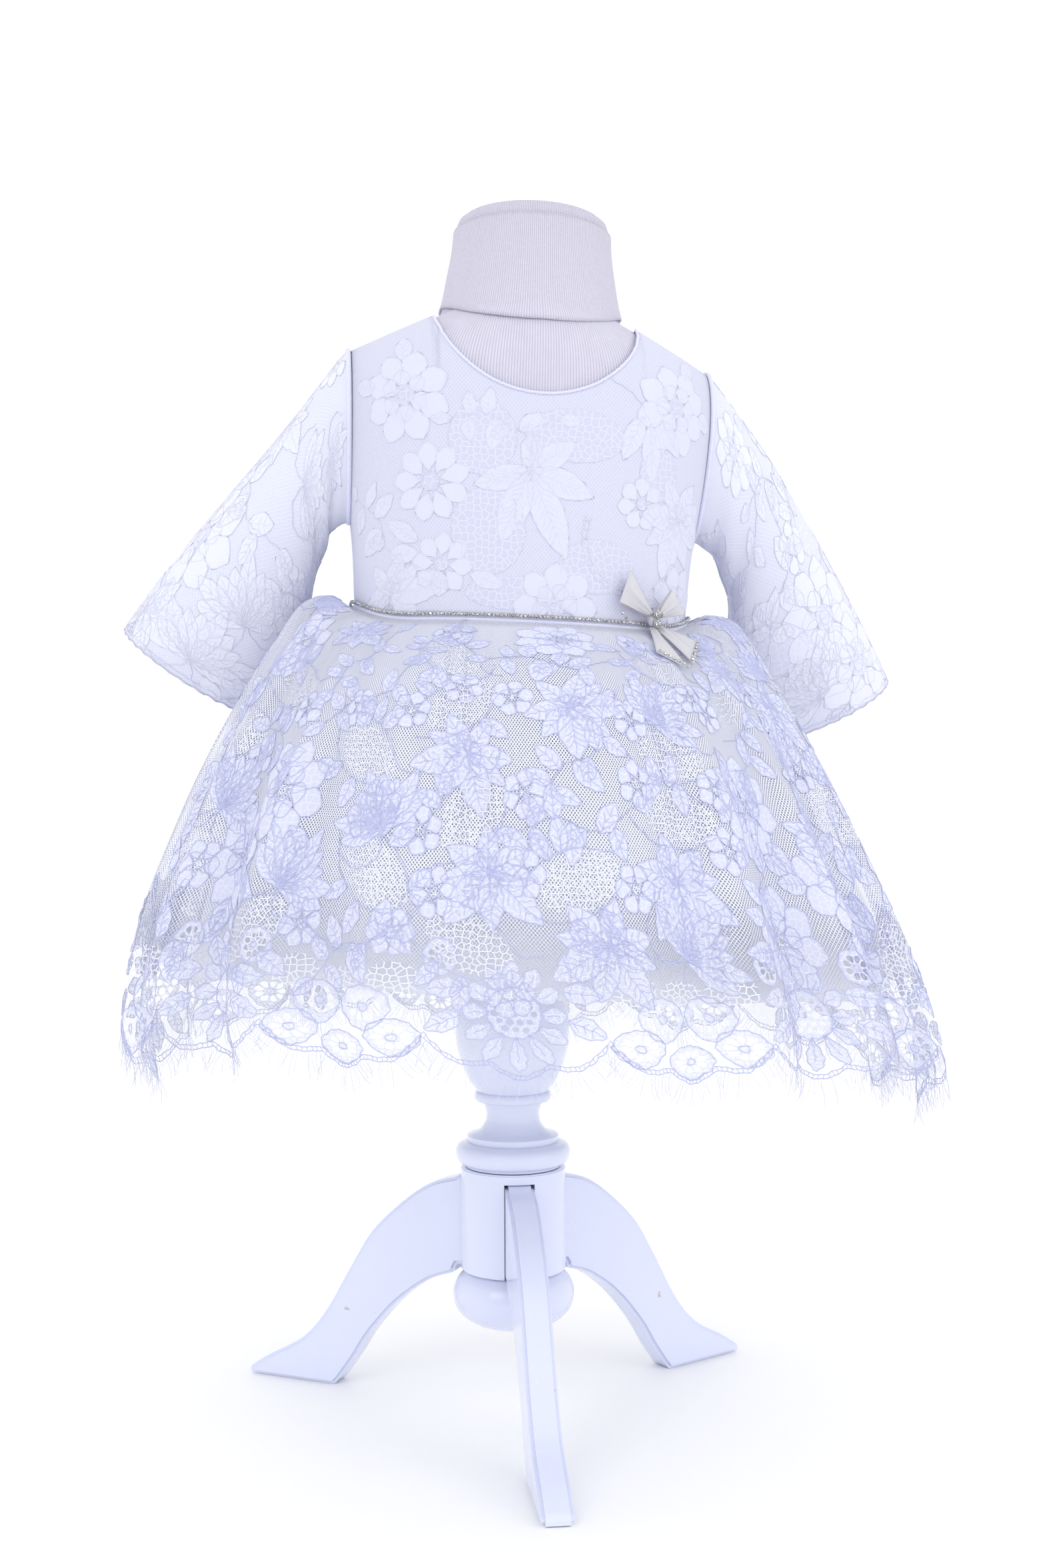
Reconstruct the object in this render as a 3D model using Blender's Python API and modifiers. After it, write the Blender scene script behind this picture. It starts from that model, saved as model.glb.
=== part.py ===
"""A christening gown of corded lace over satin, with its belt and bow, worn by a limbless dress form
that a turned stand on three legs carries. Metres, +Z up, front towards -Y. Everything is worked out
round the stand's axis, and moved at the end so that the middle of its footprint is the origin."""

import bisect
import math
from collections import namedtuple

import bmesh
import bpy
import numpy
from mathutils import Vector, geometry

# Walls and seams
SEAM_GAP = 0.0003
BODICE_SEAM_SHIFT = 0.0008
BODICE_WALL = 0.0016
SLEEVE_WALL = 0.0014
LACE_WALL = 0.0012
TULLE_WALL = 0.0010
LINING_WALL = 0.0010
RIBBON_WALL = 0.0010

# The form leans a little on its post, and the gown leans with it
FORM_Y = -0.012
LEAN = math.radians(2.3)
LEAN_Z = 0.390
FORM_INSET = 0.0040

# The body under the bodice: heights, and half sizes of rounded-box rings
BodyRing = namedtuple("BodyRing", "z half_width front_depth back_depth")
BODY_RINGS = (
    BodyRing(0.400, 0.0860, 0.0680, 0.0600),
    BodyRing(0.430, 0.0945, 0.0750, 0.0660),
    BodyRing(0.465, 0.0995, 0.0790, 0.0700),
    BodyRing(0.496, 0.1020, 0.0800, 0.0720),
    BodyRing(0.530, 0.1045, 0.0790, 0.0730),
    BodyRing(0.560, 0.1085, 0.0775, 0.0750),
    BodyRing(0.590, 0.1140, 0.0755, 0.0765),
    BodyRing(0.620, 0.1185, 0.0730, 0.0760),
    BodyRing(0.650, 0.1205, 0.0700, 0.0730),
    BodyRing(0.690, 0.1210, 0.0660, 0.0680),
)
BODY_SQUARENESS = 2.4
WAIST_Z = 0.496
WAIST_FRONT_DIP = 0.012
WAIST_BACK_DIP = 0.006
UNDERARM_Z = 0.548
SHOULDER_TIP_X = 0.110
SHOULDER_TIP_Z = 0.652
NECK_POINT_X = 0.062
NECK_POINT_Z = 0.675
SHOULDER_ROUND = 0.060
SHOULDER_POWER = 2.2
NECKLINE_FRONT_DROP = 0.058
NECKLINE_BACK_DROP = 0.010
BODICE_ROWS = 8
BODICE_ROW_CROWDING = 1.7
NECK_COLUMNS = 5
NECK_COLUMN_CROWDING = 1.6
SHOULDER_COLUMNS = 4
SHOULDER_COLUMN_CROWDING = 1.6

# The form's neck: radius by height, round an axis a little behind the form's middle
NeckRing = namedtuple("NeckRing", "z radius")
NECK_RINGS = (
    NeckRing(0.635, 0.0580),
    NeckRing(0.660, 0.0575),
    NeckRing(0.671, 0.0572),
    NeckRing(0.678, 0.0560),
    NeckRing(0.690, 0.0530),
    NeckRing(0.704, 0.0505),
    NeckRing(0.720, 0.0480),
    NeckRing(0.738, 0.0470),
)
NECK_Y = 0.001
FORM_BASE_Z = 0.404
FORM_TOP_Z = 0.740
FORM_SIDES = 30
FORM_END_SHARE = 0.92
FORM_LEVELS = (
    0.410, 0.435, 0.470, 0.505, 0.545, 0.585, 0.608, 0.628, 0.642, 0.651,
    0.659, 0.666, 0.672, 0.679, 0.692, 0.709, 0.734,
)
BAND_TOP_Z = 0.731
BAND_SIDE_Z = 0.682
BAND_FRONT_Z = 0.663
BAND_WALL = 0.0015
BAND_ROWS = 2
BAND_CLEARANCE = 0.0016
BAND_DIP_POWER = 1.5

# Sleeves: flared, three-quarter long, hanging down, out and a little back
CUFF_OUTER = Vector((0.2540, 0.066, 0.476))
CUFF_INNER = Vector((0.1620, 0.082, 0.427))
CUFF_HALF_DEPTH = 0.024
SLEEVE_LEAVES_TOP = Vector((0.026, 0.006, -0.028))
SLEEVE_LEAVES_UNDER = Vector((0.034, 0.006, -0.006))
SLEEVE_SWING_X = 0.0070
SLEEVE_SWING_TILT = 0.018
SLEEVE_SWING_OVER = 0.4
SLEEVE_ARRIVES = 0.060
SLEEVE_START = 0.0015
SLEEVE_SIDES = 18
SLEEVE_ROWS = 7

# The skirt: rings down the cloth from the waist seam to the points of the hem
SkirtRing = namedtuple(
    "SkirtRing", "down half_width front_depth back_depth side_z front_z back_z squareness"
)
SKIRT_RINGS = (
    SkirtRing(0.000, 0.1028, 0.0808, 0.0728, 0.4951, 0.4831, 0.4891, 2.40),
    SkirtRing(0.012, 0.1070, 0.0838, 0.0768, 0.4948, 0.4812, 0.4880, 2.38),
    SkirtRing(0.040, 0.1170, 0.0880, 0.0850, 0.5010, 0.4780, 0.4900, 2.34),
    SkirtRing(0.090, 0.1340, 0.0980, 0.0990, 0.4960, 0.4690, 0.4850, 2.28),
    SkirtRing(0.170, 0.1510, 0.1130, 0.1150, 0.4700, 0.4540, 0.4620, 2.20),
    SkirtRing(0.270, 0.1685, 0.1290, 0.1300, 0.4400, 0.4280, 0.4330, 2.12),
    SkirtRing(0.400, 0.1900, 0.1470, 0.1460, 0.3980, 0.3900, 0.3920, 2.06),
    SkirtRing(0.540, 0.2100, 0.1610, 0.1590, 0.3510, 0.3480, 0.3470, 2.02),
    SkirtRing(0.700, 0.2305, 0.1760, 0.1720, 0.2970, 0.3020, 0.2970, 2.00),
    SkirtRing(0.870, 0.2430, 0.1870, 0.1820, 0.2400, 0.2590, 0.2500, 2.00),
    SkirtRing(1.000, 0.2440, 0.1910, 0.1850, 0.1990, 0.2340, 0.2200, 2.00),
)
SKIRT_LENGTH = 0.330
SKIRT_SWING_X = 0.0140
SKIRT_SWING_Y = -0.006
SKIRT_EXTRA_TILT = 0.017

# Folds: where each starts at the waist and ends at the hem, in degrees from the front,
# positive towards +X, with its depth at the hem and its half width
Fold = namedtuple("Fold", "waist_at hem_at depth half_width")
FOLDS = (
    Fold(-80, -76, 0.010, 7.0),
    Fold(-62, -54, 0.019, 6.5),
    Fold(-44, -35, 0.011, 6.0),
    Fold(-14, -12, 0.004, 7.0),
    Fold(22, 17, 0.011, 6.0),
    Fold(38, 33, 0.018, 5.5),
    Fold(54, 56, 0.020, 6.5),
    Fold(74, 76, 0.012, 6.5),
    Fold(101, 104, 0.012, 7.0),
    Fold(126, 122, 0.017, 6.5),
    Fold(147, 145, 0.012, 6.5),
    Fold(172, 170, 0.016, 7.0),
    Fold(-158, -161, 0.012, 6.5),
    Fold(-134, -138, 0.018, 6.5),
    Fold(-108, -110, 0.013, 7.0),
)
# The cloth rises beside each fold: how far from its middle, in half widths, and by what share
CREST_AT = 1.9
CREST_SHARE = 0.45
FOLDS_FULL_AT = 0.9
FOLD_GROWTH = 0.8

# A layer of the skirt: how far it lies inside and below the lace, at the seam, high up and at the hem
Layer = namedtuple("Layer", "seam_inset seam_drop high_inset hem_inset drop fold_share")
LACE = Layer(0.0, 0.0, 0.0, 0.0, 0.0, 1.0)
TULLE = Layer(0.0004, 0.0015, 0.0050, 0.0220, 0.0045, 0.30)
LINING = Layer(0.0008, 0.0030, 0.0110, 0.0340, 0.0090, 0.12)
TULLE_SIDES = 36
TULLE_ROWS = (0.0, 0.012, 0.04, 0.10, 0.22, 0.42, 0.66, 0.95)
TULLE_WAVES = 9
TULLE_WAVE_DEPTH = 0.003
TULLE_HEM_WAVE = 0.012
LINING_SIDES = 32
LINING_ROWS = (0.0, 0.012, 0.04, 0.12, 0.32, 0.765)

# Lace hem: large scallops, each of small pointed ones, with openwork flowers above
HALF_SCALLOPS = 8
SMALL_SCALLOPS = 4
SCALLOP_RISE = 0.026
SCALLOP_ROUNDING = 1.7
SMALL_RISE = 0.009
HALF_GAP_ANGLE = 0.0018
FLOWER_HOLES = 7
FLOWER_RADIUS = 0.0095
HOLE_SIDES = 5
Opening = namedtuple("Opening", "across above half_across half_up")
FLOWER_HOLE = Opening(0.0, 0.049, 0.0026, 0.0030)
LONE_HOLES = (
    Opening(0.0285, 0.056, 0.0030, 0.0032),
    Opening(-0.0285, 0.056, 0.0030, 0.0032),
    Opening(0.0470, 0.066, 0.0030, 0.0034),
)
LaceRow = namedtuple("LaceRow", "down columns")
LACE_ROWS = (
    LaceRow(0.012, 18),
    LaceRow(0.040, 18),
    LaceRow(0.090, 20),
    LaceRow(0.170, 24),
    LaceRow(0.270, 28),
    LaceRow(0.400, 32),
    LaceRow(0.540, 34),
    LaceRow(0.680, 36),
)
WAIST_COLUMNS = 18

# Fringe: threads that stand on a narrow strip below the lace's edge
STRIP_GAP = 0.0013
STRIP_HEIGHT = 0.0016
STRIP_THICKNESS = 0.0012
THREAD_HALF_ROOT = 0.0010
THREAD_LENGTH = 0.0125
THREAD_SWAY = 0.003
THREAD_UNEVENNESS = 0.25

# Belt and bow at the waist
BELT_SIDES = 44
BELT_WALL = 0.0020
BELT_OUT = 0.0032
BELT_LOW = 0.0009
BELT_HIGH = 0.0033
BOW_X = 0.068
BOW_TURN = math.radians(20.0)
BOW_RISE = 0.0040
BOW_OUT = 0.0060
BOW_SLOPE_FROM = -0.0040
BOW_SLOPE = 1.15
BOW_ROOT_GAP = 0.0004
BOW_HALF_ROOT = 0.0017
BOW_LOOP_DEPTH = 0.0045
BOW_TAIL_OUT = 0.0012
BOW_BELLY = 0.0010
BOW_CREASE = 0.0012
BOW_ROWS = 6
BOW_COLUMNS = 3
KNOT_HALF_SIZES = (0.0036, 0.0036, 0.0045)
KNOT_OUT = 0.0013
STONE_RADIUS = 0.0026
Lobe = namedtuple("Lobe", "far_right far_up end_right end_up loop")
BOW_LOBES = {
    "bow_loop_left": Lobe(-0.0175, 0.0270, -0.0240, 0.0075, True),
    "bow_loop_right": Lobe(0.0110, 0.0185, 0.0205, 0.0040, True),
    "bow_tail_left": Lobe(-0.0090, -0.0210, 0.0060, -0.0300, False),
    "bow_tail_right": Lobe(0.0125, -0.0270, 0.0260, -0.0120, False),
}

# Stand, all on the Z axis
POST_TOP_Z = 0.4032
HUB_TOP_Z = 0.1510
HUB_FLOOR_Z = 0.0870
HUB_RADIUS = 0.0328
LEG_THICKNESS = 0.0180
SLOT_DEPTH_RADIUS = 0.0190
SLOT_TOP_Z = 0.1450
LEG_HEAD_RADIUS = 0.0196
LEG_SHOULDER_RADIUS = 0.0390
SLOT_CUT_LENGTH = 0.050
SLOT_CUT_BELOW = 0.010
LEG_ROUNDING = 0.0022
TURNED_SIDES = 24
HUB_SIDES = 36
LEG_DIRECTIONS = {"leg_front": -90.0, "leg_right": 30.0, "leg_left": 150.0}

Turn = namedtuple("Turn", "radius z")
COLUMN_PROFILE = (
    Turn(0.0150, POST_TOP_Z),
    Turn(0.0150, 0.2880),
    Turn(0.0205, 0.2840),
    Turn(0.0205, 0.2790),
    Turn(0.0250, 0.2720),
    Turn(0.0325, 0.2560),
    Turn(0.0357, 0.2400),
    Turn(0.0345, 0.2240),
    Turn(0.0290, 0.2080),
    Turn(0.0238, 0.1980),
    Turn(0.0238, 0.1920),
    Turn(0.0185, 0.1900),
    Turn(0.0166, 0.1830),
    Turn(0.0195, 0.1760),
    Turn(0.0288, 0.1710),
    Turn(0.0288, 0.1668),
    Turn(0.0335, 0.1650),
    Turn(0.0362, 0.1600),
    Turn(0.0335, 0.1550),
    Turn(0.0300, HUB_TOP_Z + SEAM_GAP),
)
BALL_PROFILE = (
    Turn(0.0265, HUB_FLOOR_Z - SEAM_GAP),
    Turn(0.0350, 0.0810),
    Turn(0.0382, 0.0720),
    Turn(0.0350, 0.0620),
    Turn(0.0250, 0.0540),
    Turn(0.0110, 0.0505),
)
LegPoint = namedtuple("LegPoint", "radius z")
LEG_TOP_EDGE = (
    LegPoint(0.0360, 0.1425),
    LegPoint(0.0530, 0.1375),
    LegPoint(0.0710, 0.1260),
    LegPoint(0.0950, 0.1040),
    LegPoint(0.1120, 0.0780),
    LegPoint(0.1300, 0.0480),
    LegPoint(0.1480, 0.0280),
    LegPoint(0.1730, 0.0140),
    LegPoint(0.1880, 0.0035),
)
LEG_UNDER_EDGE = (
    LegPoint(0.1870, 0.0),
    LegPoint(0.1250, 0.0),
    LegPoint(0.1180, 0.0080),
    LegPoint(0.0980, 0.0370),
    LegPoint(0.0780, 0.0590),
    LegPoint(0.0560, 0.0750),
    LegPoint(0.0360, 0.0830),
)


def clear_scene():
    for thing in list(bpy.data.objects):
        bpy.data.objects.remove(thing, do_unlink=True)


def finish(name, red, green, blue, roughness, metallic=0.0):
    material = bpy.data.materials.new(name)
    material.use_nodes = True
    shader = material.node_tree.nodes["Principled BSDF"]
    shader.inputs["Base Color"].default_value = (red, green, blue, 1.0)
    shader.inputs["Roughness"].default_value = roughness
    shader.inputs["Metallic"].default_value = metallic
    return material


def eased(share):
    share = min(max(share, 0.0), 1.0)
    return share * share * (3.0 - 2.0 * share)


def row_between(table, at):
    """The table's row at a value of its first column, from a smooth curve through its rows."""
    keys = [row[0] for row in table]
    at = min(max(at, keys[0]), keys[-1])
    i = min(bisect.bisect_right(keys, at), len(keys) - 1) - 1
    start, end = table[i], table[i + 1]
    before, after = table[max(i - 1, 0)], table[min(i + 2, len(keys) - 1)]
    span = end[0] - start[0]
    t = (at - start[0]) / span
    values = []
    for b, s, e, a in zip(before, start, end, after):
        leave = (e - b) / (end[0] - before[0]) * span
        arrive = (a - s) / (after[0] - start[0]) * span
        values.append(
            (2 * t**3 - 3 * t**2 + 1) * s
            + (t**3 - 2 * t**2 + t) * leave
            + (3 * t**2 - 2 * t**3) * e
            + (t**3 - t**2) * arrive
        )
    return type(start)(*values)


def add_object(name, mesh, material, parts, parent=None):
    thing = bpy.data.objects.new(name, mesh)
    mesh.materials.append(material)
    parts.objects.link(thing)
    if parent:
        thing.parent = parent
        thing.location = (0.0, 0.0, -LEAN_Z)
    return thing


def centre_footprint(parts, cutters):
    """Hangs all that has no parent on an empty, and moves it so that the whole is centred."""
    middle = bpy.data.objects.new("stand_axis", None)
    for thing in list(parts.objects) + list(cutters.objects):
        if thing.parent is None:
            thing.parent = middle
    parts.objects.link(middle)
    bpy.context.view_layer.update()
    graph = bpy.context.evaluated_depsgraph_get()
    points = []
    for thing in parts.objects:
        if thing.type != "EMPTY":
            final = thing.evaluated_get(graph)
            points += [final.matrix_world @ vertex.co for vertex in final.to_mesh().vertices]
            final.to_mesh_clear()
    for axis in (0, 1):
        values = [point[axis] for point in points]
        middle.location[axis] = -(min(values) + max(values)) / 2


def sheet_mesh(name, grid, closed_round=False):
    """A mesh of quads through rows of points; the rows close on themselves where they go round."""
    mesh = bpy.data.meshes.new(name)
    columns = len(grid[0])
    points = [point for row in grid for point in row]
    steps = columns if closed_round else columns - 1
    faces = []
    for r in range(len(grid) - 1):
        for c in range(steps):
            nearby = (c + 1) % columns
            faces.append(
                (
                    r * columns + c,
                    r * columns + nearby,
                    (r + 1) * columns + nearby,
                    (r + 1) * columns + c,
                )
            )
    mesh.from_pydata(points, [], faces)
    mesh.shade_smooth()
    return mesh


def give_wall(thing, thickness):
    wall = thing.modifiers.new("wall", "SOLIDIFY")
    wall.thickness = thickness
    wall.offset = 0.0


def front_share(turn):
    """1 at the front or back of a ring and 0 at its sides; turn is an angle from +X."""
    return eased(1.25 * abs(math.sin(turn)))


def signed_power(value, power):
    return math.copysign(abs(value) ** power, value)


def shoulder_z(x):
    slope = (NECK_POINT_Z - SHOULDER_TIP_Z) / (SHOULDER_TIP_X - NECK_POINT_X)
    return NECK_POINT_Z - (abs(x) - NECK_POINT_X) * slope


def body_depth(x, z, front, inset=0.0):
    """How far the body reaches from its middle plane at a place across it and a height."""
    ring = row_between(BODY_RINGS, z)
    half_width = ring.half_width - inset
    depth = (ring.front_depth if front else ring.back_depth) - inset
    across = max(0.0, 1.0 - (abs(x) / half_width) ** BODY_SQUARENESS) ** (1 / BODY_SQUARENESS)
    rise = (z - (shoulder_z(x) - inset - SHOULDER_ROUND)) / SHOULDER_ROUND
    rise = min(max(rise, 0.0), 1.0)
    return depth * across * (1.0 - rise**SHOULDER_POWER) ** (1 / SHOULDER_POWER)


def bodice_edge_x(z):
    """The side seam up to the underarm, then the armhole's edge."""
    if z <= UNDERARM_Z:
        return row_between(BODY_RINGS, z).half_width
    underarm_x = row_between(BODY_RINGS, UNDERARM_Z).half_width
    share = min((z - UNDERARM_Z) / (SHOULDER_TIP_Z - UNDERARM_Z), 1.0)
    return underarm_x + (SHOULDER_TIP_X - underarm_x) * share


def waist_z(share_across, front):
    """The waist seam's height at a share of the half width."""
    turn = math.acos(min(abs(share_across), 1.0) ** (BODY_SQUARENESS / 2))
    dip = WAIST_FRONT_DIP if front else WAIST_BACK_DIP
    return WAIST_Z - dip * front_share(turn)


def bodice_columns():
    """Pairs of a share of the half width and the neckline's share of its drop, centre to armhole."""
    neck_share = NECK_POINT_X / SHOULDER_TIP_X
    columns = []
    for i in range(NECK_COLUMNS + 1):
        turn = math.pi / 2 * (1.0 - (1.0 - i / NECK_COLUMNS) ** NECK_COLUMN_CROWDING)
        columns.append((neck_share * math.sin(turn), math.cos(turn)))
    for i in range(1, SHOULDER_COLUMNS + 1):
        left = (1.0 - i / SHOULDER_COLUMNS) ** SHOULDER_COLUMN_CROWDING
        columns.append((1.0 - (1.0 - neck_share) * left, None))
    return columns


def bodice_point(side, share_across, drop_share, row, front):
    drop = NECKLINE_FRONT_DROP if front else NECKLINE_BACK_DROP
    if drop_share is None:
        top = shoulder_z(share_across * SHOULDER_TIP_X)
    else:
        top = NECK_POINT_Z - drop * drop_share
    low = waist_z(share_across, front)
    share = 1.0 - (1.0 - row / BODICE_ROWS) ** BODICE_ROW_CROWDING
    z = low + (top - low) * share
    x = side * max(share_across * bodice_edge_x(z), 0.0 if front else SEAM_GAP)
    depth = body_depth(x, z, front) + BODICE_SEAM_SHIFT
    return (x, -depth if front else depth, z)


def make_bodice(material, parts, form):
    half = bodice_columns()
    whole = [(-1, *column) for column in reversed(half[1:])] + [(1, *column) for column in half]
    left = [(-1, *column) for column in reversed(half)]
    right = [(1, *column) for column in half]
    pieces = (
        ("bodice_front", whole, True),
        ("bodice_back_left", left, False),
        ("bodice_back_right", right, False),
    )
    for name, columns, front in pieces:
        grid = [
            [bodice_point(*column, row, front) for column in columns]
            for row in range(BODICE_ROWS + 1)
        ]
        if not front:
            grid = [list(reversed(row)) for row in grid]
        thing = add_object(name, sheet_mesh(name, grid), material, parts, form)
        give_wall(thing, BODICE_WALL)


def form_radius(turn, z):
    """The form's radius in one direction at a height, from its middle axis."""
    x_share, y_share = math.cos(turn), math.sin(turn)
    inside, outside = 0.0, 0.2
    for _ in range(24):
        radius = (inside + outside) / 2
        x, y = radius * x_share, radius * y_share
        in_width = abs(x) < row_between(BODY_RINGS, z).half_width - FORM_INSET
        if in_width and abs(y) < body_depth(x, z, y < 0, FORM_INSET):
            inside = radius
        else:
            outside = radius
    neck = row_between(NECK_RINGS, z).radius if z > NECK_RINGS[0].z else 0.0
    offset = NECK_Y * y_share
    neck = offset + math.sqrt(max(neck**2 - (NECK_Y * x_share) ** 2, 0.0)) if neck else 0.0
    return max(inside, neck)


def make_form(knit, parts, form):
    grid = []
    for z in FORM_LEVELS:
        ring = []
        for i in range(FORM_SIDES):
            turn = math.tau * i / FORM_SIDES
            radius = form_radius(turn, z)
            ring.append((radius * math.cos(turn), radius * math.sin(turn), z))
        grid.append(ring)
    low = [(x * FORM_END_SHARE, y * FORM_END_SHARE, FORM_BASE_Z) for x, y, _ in grid[0]]
    top = [(x * FORM_END_SHARE, y * FORM_END_SHARE, FORM_TOP_Z) for x, y, _ in grid[-1]]
    grid = [low, *grid, top]
    mesh = sheet_mesh("form_torso", grid, closed_round=True)
    body = bmesh.new()
    body.from_mesh(mesh)
    bmesh.ops.holes_fill(body, edges=[e for e in body.edges if e.is_boundary], sides=0)
    body.to_mesh(mesh)
    body.free()
    add_object("form_torso", mesh, knit, parts, form)

    grid = []
    for row in range(BAND_ROWS + 1):
        ring = []
        for i in range(FORM_SIDES):
            turn = math.tau * i / FORM_SIDES
            dip = max(0.0, -math.sin(turn)) ** BAND_DIP_POWER
            low = BAND_SIDE_Z + (BAND_FRONT_Z - BAND_SIDE_Z) * dip
            z = low + (BAND_TOP_Z - low) * row / BAND_ROWS
            radius = form_radius(turn, z) + BAND_WALL / 2 + BAND_CLEARANCE
            ring.append((radius * math.cos(turn), radius * math.sin(turn), z))
        grid.append(ring)
    band = add_object("neck_band", sheet_mesh("neck_band", grid, True), knit, parts, form)
    give_wall(band, BAND_WALL)


def armhole_point(around):
    """A point of the right armhole; around runs from the shoulder's tip over the front."""
    middle = (SHOULDER_TIP_Z + UNDERARM_Z) / 2
    half = (SHOULDER_TIP_Z - UNDERARM_Z) / 2
    z = middle + half * math.cos(around)
    x = bodice_edge_x(z)
    front = math.sin(around) > 0
    depth = body_depth(x, z, front)
    return Vector((x + SLEEVE_START, -depth if front else depth, z))


def sleeve_point(side, around, along):
    start = armhole_point(around)
    middle = (CUFF_OUTER + CUFF_INNER) / 2
    half = (CUFF_OUTER - CUFF_INNER) / 2
    armhole_middle = Vector((SHOULDER_TIP_X, 0.0, (SHOULDER_TIP_Z + UNDERARM_Z) / 2))
    axis = (middle - armhole_middle).normalized()
    forward = axis.cross(half).normalized()
    if forward.y > 0:
        forward.negate()
    end = middle + half * math.cos(around) + forward * CUFF_HALF_DEPTH * math.sin(around)
    first = start + SLEEVE_LEAVES_TOP.lerp(SLEEVE_LEAVES_UNDER, (1.0 - math.cos(around)) / 2)
    second = end - axis * SLEEVE_ARRIVES
    t, u = along, 1.0 - along
    point = start * u**3 + first * 3 * u * u * t + second * 3 * u * t * t + end * t**3
    swing = eased(along / SLEEVE_SWING_OVER)
    x = side * point.x
    return (x + SLEEVE_SWING_X * swing, point.y, point.z - SLEEVE_SWING_TILT * x * swing)


def make_sleeves(material, parts, form):
    for name, side in (("sleeve_right", 1), ("sleeve_left", -1)):
        grid = [
            [
                sleeve_point(side, math.tau * i / SLEEVE_SIDES, row / SLEEVE_ROWS)
                for i in range(SLEEVE_SIDES)
            ]
            for row in range(SLEEVE_ROWS + 1)
        ]
        if side < 0:
            grid = [list(reversed(row)) for row in grid]
        thing = add_object(name, sheet_mesh(name, grid, True), material, parts, form)
        give_wall(thing, SLEEVE_WALL)


def fold_shift(turn, down):
    """How far the folds move the cloth out at a direction from +X and a share down the skirt."""
    from_front = math.degrees(turn) + 90.0
    shift = 0.0
    for fold in FOLDS:
        middle = fold.waist_at + (fold.hem_at - fold.waist_at) * down
        away = (from_front - middle + 180.0) % 360.0 - 180.0
        reach = away / fold.half_width
        groove = math.exp(-(reach**2))
        crest = math.exp(-((abs(reach) - CREST_AT) ** 2))
        shift += fold.depth * (CREST_SHARE * crest - groove)
    return shift * eased(down / FOLDS_FULL_AT) ** FOLD_GROWTH


def skirt_point(turn, down, layer, extra=0.0):
    """A point of a skirt layer; turn is an angle from +X, down a share from seam to hem points."""
    ring = row_between(SKIRT_RINGS, down)
    cosine, sine = math.cos(turn), math.sin(turn)
    depth = ring.front_depth if sine < 0 else ring.back_depth
    power = 2.0 / ring.squareness
    x = ring.half_width * signed_power(cosine, power)
    y = depth * signed_power(sine, power)
    ends_z = ring.front_z if sine < 0 else ring.back_z
    z = ring.side_z + (ends_z - ring.side_z) * front_share(turn)
    outward = Vector((x / ring.half_width**2, y / depth**2)).normalized()
    out = extra - layer.seam_inset - layer.high_inset * eased(down / 0.12)
    out -= (layer.hem_inset - layer.high_inset) * down
    out += fold_shift(turn, down) * layer.fold_share
    z -= layer.seam_drop + layer.drop * eased(down / 0.05)
    x += outward.x * out
    y += outward.y * out
    tilt = math.sin(LEAN) + SKIRT_EXTRA_TILT * down
    lean_x = (z - LEAN_Z) * math.sin(LEAN) * (1.0 - down)
    return (
        x + lean_x + SKIRT_SWING_X * down,
        y + FORM_Y + SKIRT_SWING_Y * down,
        z - x * tilt,
    )


def turns_by_length(first, last):
    """Shares of the hem's length and the turns they fall at, between two turns."""
    turns = numpy.linspace(first, last, 400)
    points = numpy.array([skirt_point(turn, 0.85, LACE) for turn in turns])
    steps = numpy.linalg.norm(numpy.diff(points, axis=0), axis=1)
    lengths = numpy.concatenate([[0.0], numpy.cumsum(steps)])
    return lengths / lengths[-1], turns, lengths[-1]


def hem_rise(scallops):
    """How far the lace's edge lies above the lowest points, at a count of large scallops."""
    large = abs(2.0 * (scallops % 1.0) - 1.0)
    small = abs(2.0 * (scallops * SMALL_SCALLOPS % 1.0) - 1.0)
    return SCALLOP_RISE * large**SCALLOP_ROUNDING + SMALL_RISE * small


def hem_line(width):
    """Points along and down the lace for half a skirt's edge, at each tip and notch."""
    steps = HALF_SCALLOPS * SMALL_SCALLOPS * 2
    return [
        (width * i / steps, SKIRT_LENGTH - hem_rise(HALF_SCALLOPS * i / steps))
        for i in range(steps + 1)
    ]


def lace_openings(width):
    """The cut gaps of half a skirt, each as the points of its edge, along and down the lace."""
    pitch = width / HALF_SCALLOPS
    gaps = []
    for scallop in range(HALF_SCALLOPS):
        middle = pitch * (scallop + 0.5)
        places = []
        for i in range(FLOWER_HOLES):
            turn = math.tau * i / FLOWER_HOLES
            along = middle + FLOWER_RADIUS * math.sin(turn)
            above = FLOWER_HOLE.above + FLOWER_RADIUS * math.cos(turn)
            places.append((along, above, FLOWER_HOLE))
        for hole in LONE_HOLES:
            if middle + hole.across < width - hole.half_across * 3:
                places.append((middle + hole.across, hole.above, hole))
        for along, above, hole in places:
            edge = []
            for i in range(HOLE_SIDES):
                turn = math.tau * i / HOLE_SIDES
                edge.append(
                    (
                        along + hole.half_across * math.sin(turn),
                        SKIRT_LENGTH - above - hole.half_up * math.cos(turn),
                    )
                )
            gaps.append(edge)
    return gaps


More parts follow.
